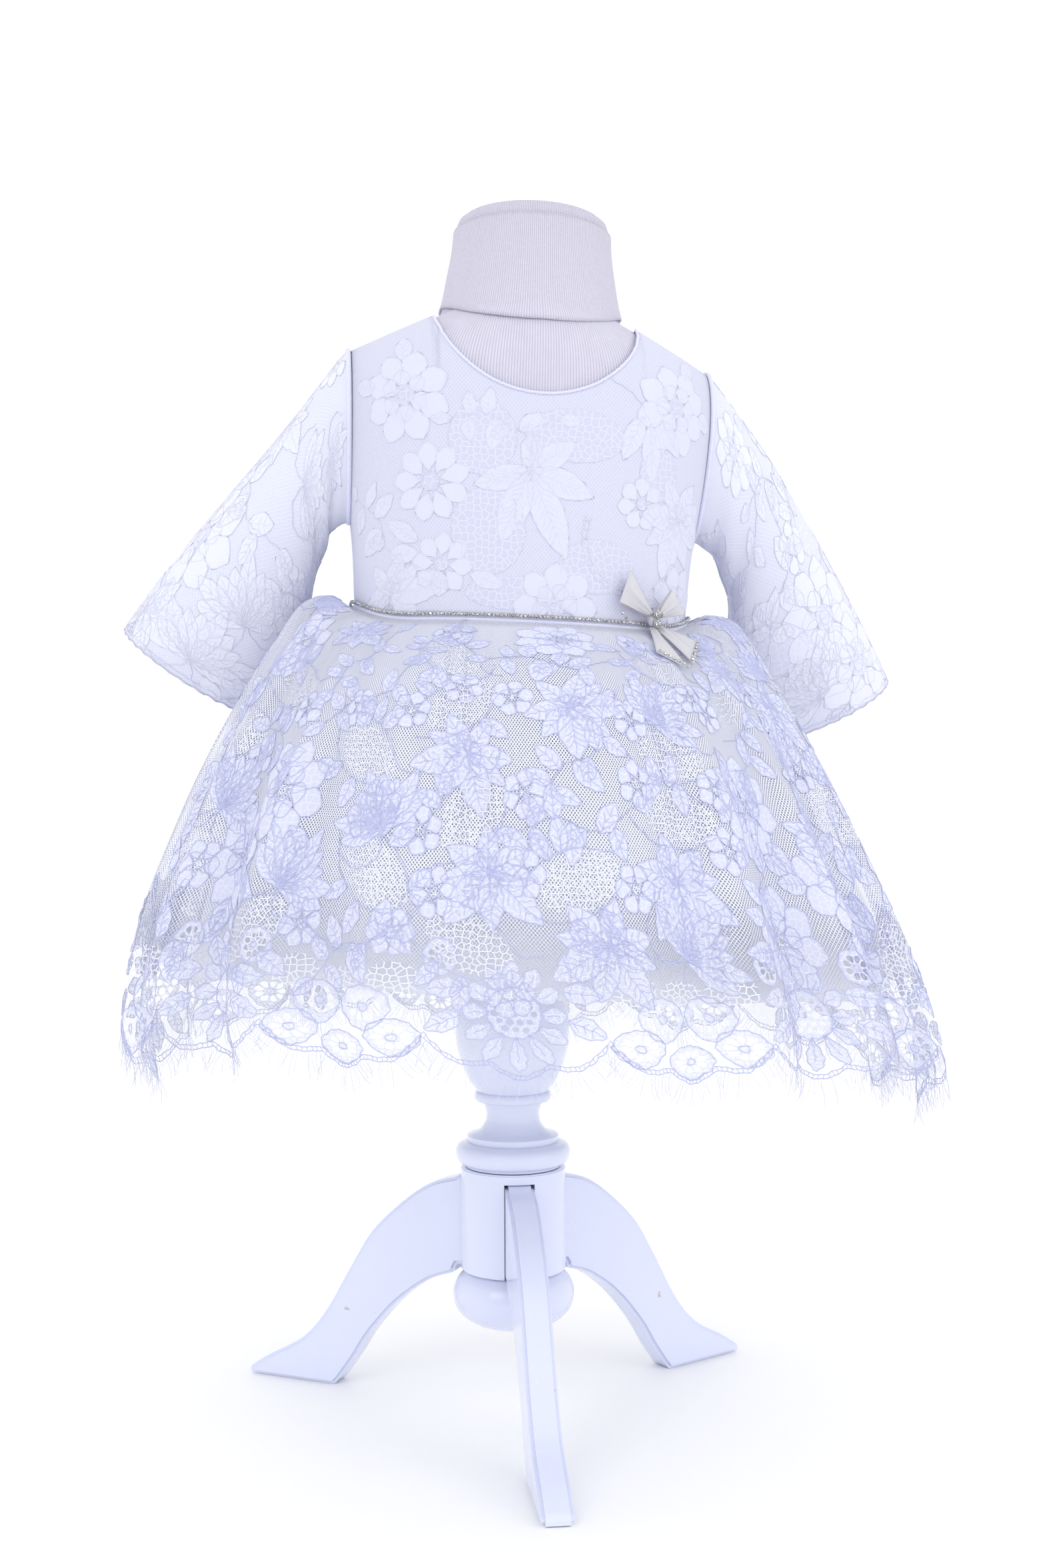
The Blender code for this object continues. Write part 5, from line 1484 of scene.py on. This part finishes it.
def tube(name, points, radius, material, slot, closed=False):
    """A round cord through points in space."""
    mesh = bpy.data.meshes.new(name)
    edges = [(i, i + 1) for i in range(len(points) - 1)]
    if closed:
        edges.append((len(points) - 1, 0))
    mesh.from_pydata([tuple(p) for p in points], edges, [])
    radii = np.full(len(points), radius)
    mesh.attributes.new("cord_radius", "FLOAT", "POINT").data.foreach_set("value", radii)
    made = grown(name, mesh, laid_cord, {"Sides": 8, "Finish": material})
    made.shade_smooth()
    return add_piece(name, made, material, slot)


for side, cloth in cloths.items():
    neck_edge = np.interp(NECK_POINT_X / SHOULDER_TIP_X, cloth.shares, cloth.arcs)
    neck_along = np.linspace(-neck_edge, neck_edge, 90)
    neckline = cloth.place(neck_along, cloth.edges(neck_along)[0])
    tube("neck_edge_" + side, neckline, 0.0009, seam_cloth, "lace")
for side_name, sign in (("left", -1.0), ("right", 1.0)):
    cloth = cloths["front"]
    shoulder = np.linspace(neck_edge, cloth.arcs[-1], 30) * sign
    tube(
        "shoulder_seam_" + side_name, cloth.place(shoulder, cloth.edges(shoulder)[0]), 0.0008,
        seam_cloth, "lace",
    )
    tops, lows = cloth.edges(np.array([cloth.arcs[-1]]))
    low = np.linspace(lows[0] - 0.001, lows[0] - (UNDERARM_Z - WAIST_Z) + 0.002, 30)
    tube(
        "side_seam_" + side_name, cloth.place(np.full(30, cloth.arcs[-1] * sign), low), 0.0006,
        seam_cloth, "lace",
    )


# The sleeves: three-quarter lace sleeves that flare to a wide slanted cuff, set in flat at the
# armholes and sewn up underneath. Each is one piece of lace on its satin backing, hemmed with a
# corded picot edge.
CUFF_OUTER = np.array((0.2540, 0.066, 0.476))
CUFF_INNER = np.array((0.1620, 0.082, 0.427))
CUFF_HALF_DEPTH = 0.024
SLEEVE_LEAVES_TOP = np.array((0.026, 0.006, -0.028))
SLEEVE_LEAVES_UNDER = np.array((0.034, 0.006, -0.006))
SLEEVE_SWING_X = 0.0070
SLEEVE_SWING_TILT = 0.018
SLEEVE_SWING_OVER = 0.4
SLEEVE_ARRIVES = 0.060
SLEEVE_WIDTH = 0.235
SLEEVE_LENGTH = 0.185
SLEEVE_OUT = 0.0006
SLEEVE_WALL = 0.0009
SLEEVE_COLOUR = (0.82, 0.84, 0.965)
SLEEVE_CLOSE = (0.84, 0.86, 0.98)
# The backing colour is painted darker than the satin, as painted shade under the lace's net.
SLEEVE_SHADED_BACKING = (0.75, 0.77, 0.93)


class SleeveCloth:
    """One sleeve as flat cloth: along from its outer line, and down to the cuff."""

    def __init__(self, side):
        self.side = side

    def edges(self, along):
        return np.zeros(len(along)), np.full(len(along), SLEEVE_LENGTH - 0.0010)

    def place(self, along, down):
        side = self.side
        along, down = np.broadcast_arrays(np.asarray(along, float), np.asarray(down, float))
        around = -side * along / SLEEVE_WIDTH * math.tau
        t = (down / SLEEVE_LENGTH)[..., None]
        z = (SHOULDER_TIP_Z + UNDERARM_Z) / 2 + (SHOULDER_TIP_Z - UNDERARM_Z) / 2 * np.cos(around)
        x = bodice_edge_x(z)
        depth = body_depth(x.ravel(), z.ravel(), (np.sin(around) > 0).ravel()).reshape(z.shape)
        start = np.stack([x + 0.0015, np.where(np.sin(around) > 0, -depth, depth), z], axis=-1)
        middle, half = (CUFF_OUTER + CUFF_INNER) / 2, (CUFF_OUTER - CUFF_INNER) / 2
        axis = middle - (SHOULDER_TIP_X, 0.0, (SHOULDER_TIP_Z + UNDERARM_Z) / 2)
        axis /= np.linalg.norm(axis)
        forward = np.cross(axis, half)
        forward *= -np.sign(forward[1]) / np.linalg.norm(forward)
        turned = (np.cos(around)[..., None] * half, np.sin(around)[..., None] * forward * CUFF_HALF_DEPTH)
        end = middle + turned[0] + turned[1]
        under = (0.5 - 0.5 * np.cos(around))[..., None]
        first = start + SLEEVE_LEAVES_TOP * (1.0 - under) + SLEEVE_LEAVES_UNDER * under
        second = end - axis * SLEEVE_ARRIVES
        u = 1.0 - t
        points = start * u**3 + first * 3 * u * u * t + second * 3 * u * t * t + end * t**3
        outward = turned[0] / np.linalg.norm(half) + turned[1] / CUFF_HALF_DEPTH
        outward = outward / np.linalg.norm(outward, axis=-1, keepdims=True)
        t = t[..., 0]
        slack = under[..., 0] ** 2 * np.exp(-(((t - 0.30) / 0.20) ** 2))
        creases = 0.0012 * np.sin(31.0 * t + 2.2 * np.sin(around + 0.6) + 1.3 * np.sin(9.0 * t)) * slack
        creases = creases + 0.0008 * np.sin(3.0 * around + 4.0 * t + side) * eased((t - 0.45) / 0.5)
        points = points + outward * (SLEEVE_OUT + creases * eased(t / 0.12))[..., None]
        points[..., 0] *= side
        swing = eased(t / SLEEVE_SWING_OVER)
        points[..., 2] -= SLEEVE_SWING_TILT * points[..., 0] * swing
        points[..., 0] += SLEEVE_SWING_X * swing
        return on_form(points)


def sleeve_pattern(seed):
    pattern = LacePattern()
    chance = np.random.default_rng(seed)
    for down, count, offset, size in (
        (0.022, 4, 0.0, 0.60), (0.056, 5, 0.5, 0.72), (0.092, 5, 0.0, 0.80), (0.126, 5, 0.5, 0.86),
        (0.160, 6, 0.0, 0.86),
    ):
        for i in range(count):
            a = SLEEVE_WIDTH * ((i + offset + 0.25) / count - 0.5) + chance.uniform(-0.006, 0.006)
            pattern.at(a, down + chance.uniform(-0.006, 0.006), chance.uniform(-0.9, 0.9), size)
            pattern.spray(int(chance.integers(0, 5)))
    return pattern


sleeve_lace = lace_finish("sleeve_lace", SLEEVE_COLOUR, SLEEVE_CLOSE, SLEEVE_SHADED_BACKING)
for name, side, seed in (("sleeve_right", 1, 11), ("sleeve_left", -1, 5)):
    cloth = SleeveCloth(side)
    half_width = SLEEVE_WIDTH / 2
    along = np.linspace(-half_width, half_width, 121)
    cuff = SLEEVE_LENGTH - 0.0010 * (0.5 - 0.5 * np.cos(along / half_width * math.pi * 30))
    pattern = trimmed(sleeve_pattern(seed), cloth, -half_width, half_width)
    for above in (0.0006, 0.0042):
        pattern.cord(np.stack([along, cuff - above], axis=-1))
    mesh = woven_mesh("lace_" + name, [plain_ground(along, np.zeros(121), cuff, 64)], cloth.place)
    sleeve = add_piece("lace_" + name, mesh, sleeve_lace, "lace", name)
    give_wall(sleeve, SLEEVE_WALL, -1.0)
    lay_patches("motifs_" + name, pattern, cloth.place, sleeve_lace)
    cords = lay_cords("cords_" + name, pattern, cloth.place, raised_cord, 0.0002)
    add_piece("cords_" + name, cords, raised_cord, "lace")
    rim = cloth.place(np.linspace(-half_width, half_width, 90, endpoint=False), np.full(90, 0.0002))
    tube("armhole_seam_" + name, rim, 0.0016, seam_cloth, "lace", closed=True)


# The belt: a cup chain of small rhinestones, one silver cup to each, sewn round the waist seam.
BELT_STONES = 262
BELT_UP = 0.0021
BELT_OUT = 0.0024
CUP_RADIUS = 0.00115
SILVER_COLOUR = (0.55, 0.55, 0.60)


def waist_point(turn, above, out):
    """Points off the bodice just above the waist seam, in the form's frame, and which way is out."""
    front = np.sin(turn) < 0
    dip = np.where(front, WAIST_DIPS["front"], WAIST_DIPS["back"])
    z = WAIST_Z - dip * front_share(turn) + above
    half_width, front_depth, back_depth = rows_at(BODY_RINGS, z)
    depth = np.where(front, front_depth, back_depth)
    x = half_width * signed_power(np.cos(turn), 2.0 / BODY_SQUARENESS)
    y = depth * signed_power(np.sin(turn), 2.0 / BODY_SQUARENESS)
    outward = np.stack([x / half_width**2, y / depth**2, np.zeros(len(x))], axis=-1)
    outward /= np.linalg.norm(outward, axis=-1, keepdims=True)
    return np.stack([x, y, z], axis=-1) + outward * out, outward


def hull_shape(name, rings):
    """A faceted shape round Z through rings of (radius, height, sides, turn)."""
    body = bmesh.new()
    for radius, height, sides, turn in rings:
        for i in range(sides):
            at = math.tau * i / sides + turn
            body.verts.new((radius * math.cos(at), radius * math.sin(at), height))
    made = bmesh.ops.convex_hull(body, input=body.verts)
    loose = [v for v in made["geom_interior"] if isinstance(v, bmesh.types.BMVert)]
    bmesh.ops.delete(body, geom=loose, context="VERTS")
    bmesh.ops.recalc_face_normals(body, faces=body.faces)
    return put_in_scene(name, mesh_of(body, name))


def set_stones_tree():
    """A part set on each point, facing the way the point says, with a random brightness on each face for
    painted glints.
    """
    tree, add, start, end = geometry_tree("set_stones", [
        ("Part", "Object"), ("Size", "Float"), ("Seed", "Int"), ("Finish", "Material"),
    ])
    inputs = start.outputs
    part = add("GeometryNodeObjectInfo", {"Object": inputs["Part"]})
    out = add("GeometryNodeInputNamedAttribute", {"Name": "out"}, data_type="FLOAT_VECTOR")
    facing = add("FunctionNodeAlignRotationToVector", {"Vector": out.outputs[0]}, axis="Z")
    spin = add(
        "FunctionNodeRandomValue", {0: (0.0, 0.0, 0.0), 1: (0.12, 0.12, 6.28), "Seed": inputs["Seed"]},
        data_type="FLOAT_VECTOR",
    )
    spun = add("FunctionNodeEulerToRotation", {0: spin.outputs[0]})
    turned = add(
        "FunctionNodeRotateRotation", {0: facing.outputs[0], 1: spun.outputs[0]},
        rotation_space="LOCAL",
    )
    stones = add("GeometryNodeInstanceOnPoints", {
        "Points": inputs["Geometry"], "Instance": part.outputs["Geometry"],
        "Rotation": turned.outputs[0], "Scale": inputs["Size"],
    })
    real = add("GeometryNodeRealizeInstances", {0: stones.outputs[0]})
    # The random brightness stored on each face paints glints and reflections into the stones' colour.
    shade = add("FunctionNodeRandomValue", {2: 0.0, 3: 1.0, "Seed": inputs["Seed"]}, data_type="FLOAT")
    glint_faces = add(
        "GeometryNodeStoreNamedAttribute", {0: real.outputs[0], "Name": "facet"},
        data_type="FLOAT", domain="FACE",
    )
    tree.links.new(shade.outputs[1], glint_faces.inputs["Value"])
    return end_tree(tree, add, start, end, glint_faces.outputs[0])


def set_along(name, points, outward, part, size, material, slot, *nodes):
    mesh = bpy.data.meshes.new(name)
    mesh.from_pydata([tuple(p) for p in points], [], [])
    ways = np.ascontiguousarray(np.broadcast_to(outward, (len(points), 3)))
    mesh.attributes.new("out", "FLOAT_VECTOR", "POINT").data.foreach_set("vector", ways.ravel())
    values = {"Part": part, "Size": size, "Seed": len(name), "Finish": material}
    made = grown(name, mesh, set_stones, values)
    made.shade_flat()
    return add_piece(name, made, material, slot, *nodes)


def rhinestone_finish():
    material, shader = finish("rhinestone", (0.9, 0.9, 0.95), 0.06)
    tree = material.node_tree
    facet = node(tree, "Attribute", attribute_name="facet").outputs["Fac"]
    # Each face of a stone is painted at random between near black and white, as painted glints and
    # reflections.
    glint_brightness = reckon(tree, "POWER", facet, 1.4)
    tree.links.new(tint(tree, glint_brightness, (0.03, 0.03, 0.05), (1.0, 1.0, 1.0)), shader.inputs["Base Color"])
    shader.inputs["Metallic"].default_value = 0.55
    shader.inputs["Coat Weight"].default_value = 1.0
    shader.inputs["Coat Roughness"].default_value = 0.02
    return material


def silver_finish():
    material, shader = finish("silver_cup", SILVER_COLOUR, 0.28)
    tree = material.node_tree
    where = node(tree, "TexCoord").outputs["Object"]
    worn = node(tree, "TexNoise", {"Vector": where, "Scale": 700.0, "Detail": 2.0})
    shade = tuple(c * 0.45 for c in SILVER_COLOUR)
    tree.links.new(tint(tree, worn.outputs[0], shade, SILVER_COLOUR), shader.inputs["Base Color"])
    shader.inputs["Metallic"].default_value = 0.9
    return material


set_stones = set_stones_tree()
rhinestone = rhinestone_finish()
silver = silver_finish()
cut_stone = hull_shape("cut_stone", [
    (0.50, 0.95, 8, 0.0), (0.80, 0.72, 8, 0.39), (0.94, 0.42, 8, 0.0), (0.60, 0.05, 6, 0.0),
])
stone_cup = hull_shape("stone_cup", [
    (1.0, 0.0, 8, 0.0), (1.08, 0.42, 8, 0.0), (0.97, 0.55, 8, 0.0),
])
around = np.linspace(0.0, math.tau, 2400)
line, ways = waist_point(around, BELT_UP, BELT_OUT)
lengths = lengths_along(line)
even = np.interp(np.arange(BELT_STONES) / BELT_STONES * lengths[-1], lengths, around)
belt_points, belt_ways = waist_point(even, BELT_UP, BELT_OUT)
seam_line = on_form(waist_point(around[::12], -0.0006, 0.0006)[0])
tube("waist_seam", seam_line, 0.0014, seam_cloth, "lace", closed=True)
leaned_ways = on_form(belt_ways) - on_form(np.zeros(3))
belt_points = on_form(belt_points)
set_along("cup_chain", belt_points, leaned_ways, stone_cup, CUP_RADIUS, silver, "cup_chain", "belt")
set_along("belt_stones", belt_points, leaned_ways, cut_stone, CUP_RADIUS, rhinestone, "crystal")


# The bow: narrow satin ribbon folded into loops with two tails, drawn in by a knot and sewn on the
# belt to the right. Two round rhinestones sit on the knot and a strip of small ones closes each tail.
RIBBON_COLOUR = (0.52, 0.515, 0.56)
BOW_X = 0.068
BOW_TURN = math.radians(20.0)
BOW_RISE = 0.0049
BOW_OUT = 0.0060
BOW_SLOPE_FROM = -0.0040
BOW_SLOPE = 1.15
KNOT_HALF_SIZES = (0.0036, 0.0036, 0.0045)
KNOT_OUT = 0.0013
STONE_RADIUS = 0.0026
RIBBON_FLAT = (0.05, 0.016)
RIBBON_WALL = 0.0006
# far right, far up, end right, end up, loop
BOW_LOBES = {
    "bow_loop_left": (-0.0175, 0.0270, -0.0240, 0.0075, True),
    "bow_loop_right": (0.0110, 0.0185, 0.0205, 0.0040, True),
    "bow_tail_left": (-0.0090, -0.0210, 0.0060, -0.0300, False),
    "bow_tail_right": (0.0125, -0.0270, 0.0260, -0.0120, False),
}
bow_turn = -math.acos((BOW_X / float(rows_at(BODY_RINGS, WAIST_Z)[0, 0])) ** (BODY_SQUARENESS / 2))
bow_root = waist_point(np.array([bow_turn]), BOW_RISE, 0.0)[0][0]
bow_across = np.array((math.cos(BOW_TURN), math.sin(BOW_TURN), 0.0))
bow_outward = np.array((math.sin(BOW_TURN), -math.cos(BOW_TURN), 0.0))


def bow_point(right, up, out):
    right, up, out = np.broadcast_arrays(right, up, out)
    out = out + BOW_OUT + np.maximum(0.0, BOW_SLOPE_FROM - up) * BOW_SLOPE
    points = bow_root + right[..., None] * bow_across + out[..., None] * bow_outward
    points[..., 2] += up
    return on_form(points)


def ribbon_lobe(far_right, far_up, end_right, end_up, loop, rows=40, columns=17):
    far = np.array((far_right + end_right, far_up + end_up)) / 2
    spread = np.array((end_right - far_right, end_up - far_up)) / 2
    away = far / np.linalg.norm(far)
    knot = math.hypot(away[0] / KNOT_HALF_SIZES[0], away[1] / KNOT_HALF_SIZES[2])
    root = away * (1.0 / knot + 0.0004)
    root_spread = np.array((-away[1], away[0])) * 0.0017
    if root_spread @ spread < 0:
        root_spread = -root_spread
    t, s = np.meshgrid(np.linspace(0.0, 1.0, rows), np.linspace(-1.0, 1.0, columns), indexing="ij")
    reach = np.sin(math.pi * t) if loop else t
    out = 0.0045 * (1.0 + np.cos(math.pi * t)) / 2 if loop else 0.0012
    out = out + 0.0010 * np.sin(math.pi * t)
    middle = root + (far - root) * reach[..., None]
    half = root_spread + (spread - root_spread) * reach[..., None]
    place = middle + half * s[..., None]
    pinched = (1.0 - reach) ** 0.7
    creases = 0.0012 * np.cos(s * math.pi) * pinched + 0.0005 * np.cos(s * 9.0 + 1.0) * pinched
    creases = creases + 0.0006 * np.cos(s * 4.0 + 2.5 * t) * np.sin(math.pi * np.minimum(reach, 1.0))
    return bow_point(place[..., 0], place[..., 1], out + creases)


def ribbon_finish():
    material, shader = finish("satin_ribbon", RIBBON_COLOUR, 0.26)
    tree = material.node_tree
    place = node(tree, "UVMap", uv_map="cloth").outputs[0]
    threads = node(tree, "Mapping", {0: place, 3: (400.0, 5200.0, 1.0)})
    weave = node(tree, "TexNoise", {"Vector": threads.outputs[0], "Scale": 1.0, "Detail": 2.0})
    light = tuple(min(1.0, c * 1.22) for c in RIBBON_COLOUR)
    tree.links.new(tint(tree, weave.outputs[0], RIBBON_COLOUR, light), shader.inputs["Base Color"])
    shader.inputs["Anisotropic"].default_value = 0.5
    shader.inputs["Sheen Weight"].default_value = 0.15
    raise_by(tree, shader, weave.outputs[0], 0.0001, 0.5)
    return material


ribbon = ribbon_finish()
for name, lobe in BOW_LOBES.items():
    points = ribbon_lobe(*lobe)
    steps = [np.linspace(0, length, count) for length, count in zip(RIBBON_FLAT, points.shape)]
    spans = np.stack(np.meshgrid(*steps, indexing="ij"), axis=-1)
    mesh = grid_mesh("satin_" + name, points, spans)
    give_wall(add_piece("satin_" + name, mesh, ribbon, "ribbon", name), RIBBON_WALL)

body = bmesh.new()
bmesh.ops.create_icosphere(body, subdivisions=4, radius=1.0)
for vert in body.verts:
    right, out, up = vert.co.x, -vert.co.y, vert.co.z
    fold = 1.0 + 0.09 * math.cos(9.0 * right + 4.0 * up) * (1.0 - up * up)
    vert.co = bow_point(
        right * KNOT_HALF_SIZES[0] * fold, 0.0, KNOT_OUT + out * KNOT_HALF_SIZES[1] * fold
    )
    vert.co.z += up * KNOT_HALF_SIZES[2]
bmesh.ops.recalc_face_normals(body, faces=body.faces)
knot_mesh = mesh_of(body, "ribbon_knot")
knot_mesh.shade_smooth()
knot_corners = np.array([knot_mesh.vertices[l.vertex_index].co[:] for l in knot_mesh.loops])
knot_uv = knot_mesh.uv_layers.new(name="cloth")
knot_uv.data.foreach_set("uv", np.ascontiguousarray(knot_corners[:, [2, 0]]).ravel())
add_piece("ribbon_knot", knot_mesh, ribbon, "ribbon", "bow_knot")

bow_facing = on_form(bow_outward) - on_form(np.zeros(3))
stone_back = KNOT_OUT + KNOT_HALF_SIZES[1]
for name, up in (("bow_stone_upper", STONE_RADIUS), ("bow_stone_lower", -STONE_RADIUS)):
    seat = bow_point(np.array([0.0]), np.array([0.0]), np.array([stone_back + 0.0004]))
    seat[:, 2] += up + math.copysign(0.0003, up)
    set_along("round_" + name, seat, bow_facing, cut_stone, STONE_RADIUS, rhinestone, "crystal", name)
    set_along("cup_of_" + name, seat, bow_facing, stone_cup, STONE_RADIUS * 1.02, silver, "cup_chain")

strips = []
for ends, count in (
    (((-0.0068, -0.0205), (0.0068, -0.0287)), 7), (((0.0125, -0.0240), (0.0245, -0.0125)), 7),
    (((-0.0215, 0.0020), (-0.0165, -0.0030)), 3),
):
    share = np.linspace(0.0, 1.0, count)[:, None]
    strips.append(np.array(ends[0]) * (1.0 - share) + np.array(ends[1]) * share)
strip = np.vstack(strips)
strip_points = bow_point(strip[:, 0], strip[:, 1], np.full(len(strip), 0.0022))
set_along("tail_cups", strip_points, bow_facing, stone_cup, CUP_RADIUS, silver, "cup_chain")
set_along("tail_stones", strip_points, bow_facing, cut_stone, CUP_RADIUS, rhinestone, "crystal")
for pattern_part in (cut_stone, stone_cup):
    bpy.data.objects.remove(pattern_part, do_unlink=True)


# The floor, lights and camera, as for a plain studio photograph of goods on white. The floor fades
# out into the white around it. The camera stands low, a little to the left of the front.
CAMERA_DISTANCE = 1.10
CAMERA_HEIGHT = 0.379
CAMERA_TURN = math.radians(-7.0)
CAMERA_ROLL = math.radians(0.3)
FOCAL_PIXELS = 2623.0
FRAME_PIXELS = 2352.0
FRAME_MIDDLE = (784, 1176)
AXIS_AT = 767
HORIZON_AT = 1204
SENSOR_WIDTH = 36.0
FLOOR_REACH = 3.0
FLOOR_Z = -0.0002

floor_mesh = bpy.data.meshes.new("floor")
floor_corners = [
    (x * FLOOR_REACH, y * FLOOR_REACH, FLOOR_Z) for x, y in ((-1, -1), (1, -1), (1, 1), (-1, 1))
]
floor_mesh.from_pydata(floor_corners, [], [(0, 1, 2, 3)])
floor = put_in_scene("floor", floor_mesh)
floor_paint, shader = finish("white_floor", (0.985, 0.985, 0.99), 0.6)
tree = floor_paint.node_tree
where = node(tree, "TexCoord").outputs["Object"]
away = node(tree, "VectorMath", {0: where}, operation="LENGTH").outputs["Value"]
fade = node(tree, "MapRange", {0: away, 1: 0.35, 2: 1.3, 3: 1.0, 4: 0.0}, interpolation_type="SMOOTHSTEP")
tree.links.new(fade.outputs[0], shader.inputs["Alpha"])
floor_mesh.materials.append(floor_paint)

world = bpy.data.worlds.new("white_surround")
bpy.context.scene.world = world
world.use_nodes = True
world.node_tree.nodes["Background"].inputs[0].default_value = (1.0, 1.0, 1.0, 1.0)
world.node_tree.nodes["Background"].inputs[1].default_value = 1.1

# name, position, aimed at, size, power
LIGHTS = (
    ("softbox_left", (-1.5, -1.6, 1.7), (0.0, 0.0, 0.40), 1.2, 7.0),
    ("softbox_right", (1.7, -1.3, 1.2), (0.0, 0.0, 0.35), 1.2, 6.5),
)
for name, place, aim, size, power in LIGHTS:
    lamp = bpy.data.lights.new(name, "AREA")
    lamp.size = size
    lamp.energy = power
    light = put_in_scene(name, lamp)
    light.location = place
    light.rotation_euler = (Vector(aim) - Vector(place)).to_track_quat("-Z", "Y").to_euler()

camera_data = bpy.data.cameras.new("camera")
camera_data.sensor_width = SENSOR_WIDTH
camera_data.lens = FOCAL_PIXELS / FRAME_PIXELS * SENSOR_WIDTH
camera_data.shift_x = (FRAME_MIDDLE[0] - AXIS_AT) / FRAME_PIXELS
camera_data.shift_y = (HORIZON_AT - FRAME_MIDDLE[1]) / FRAME_PIXELS
camera_data.clip_start = 0.05
camera = put_in_scene("camera", camera_data)
camera.location = (
    AXIS[0] + CAMERA_DISTANCE * math.sin(CAMERA_TURN),
    AXIS[1] - CAMERA_DISTANCE * math.cos(CAMERA_TURN),
    CAMERA_HEIGHT,
)
camera.rotation_euler = (math.pi / 2, CAMERA_ROLL, CAMERA_TURN)
bpy.context.scene.camera = camera
bpy.context.scene.view_settings.view_transform = "Standard"
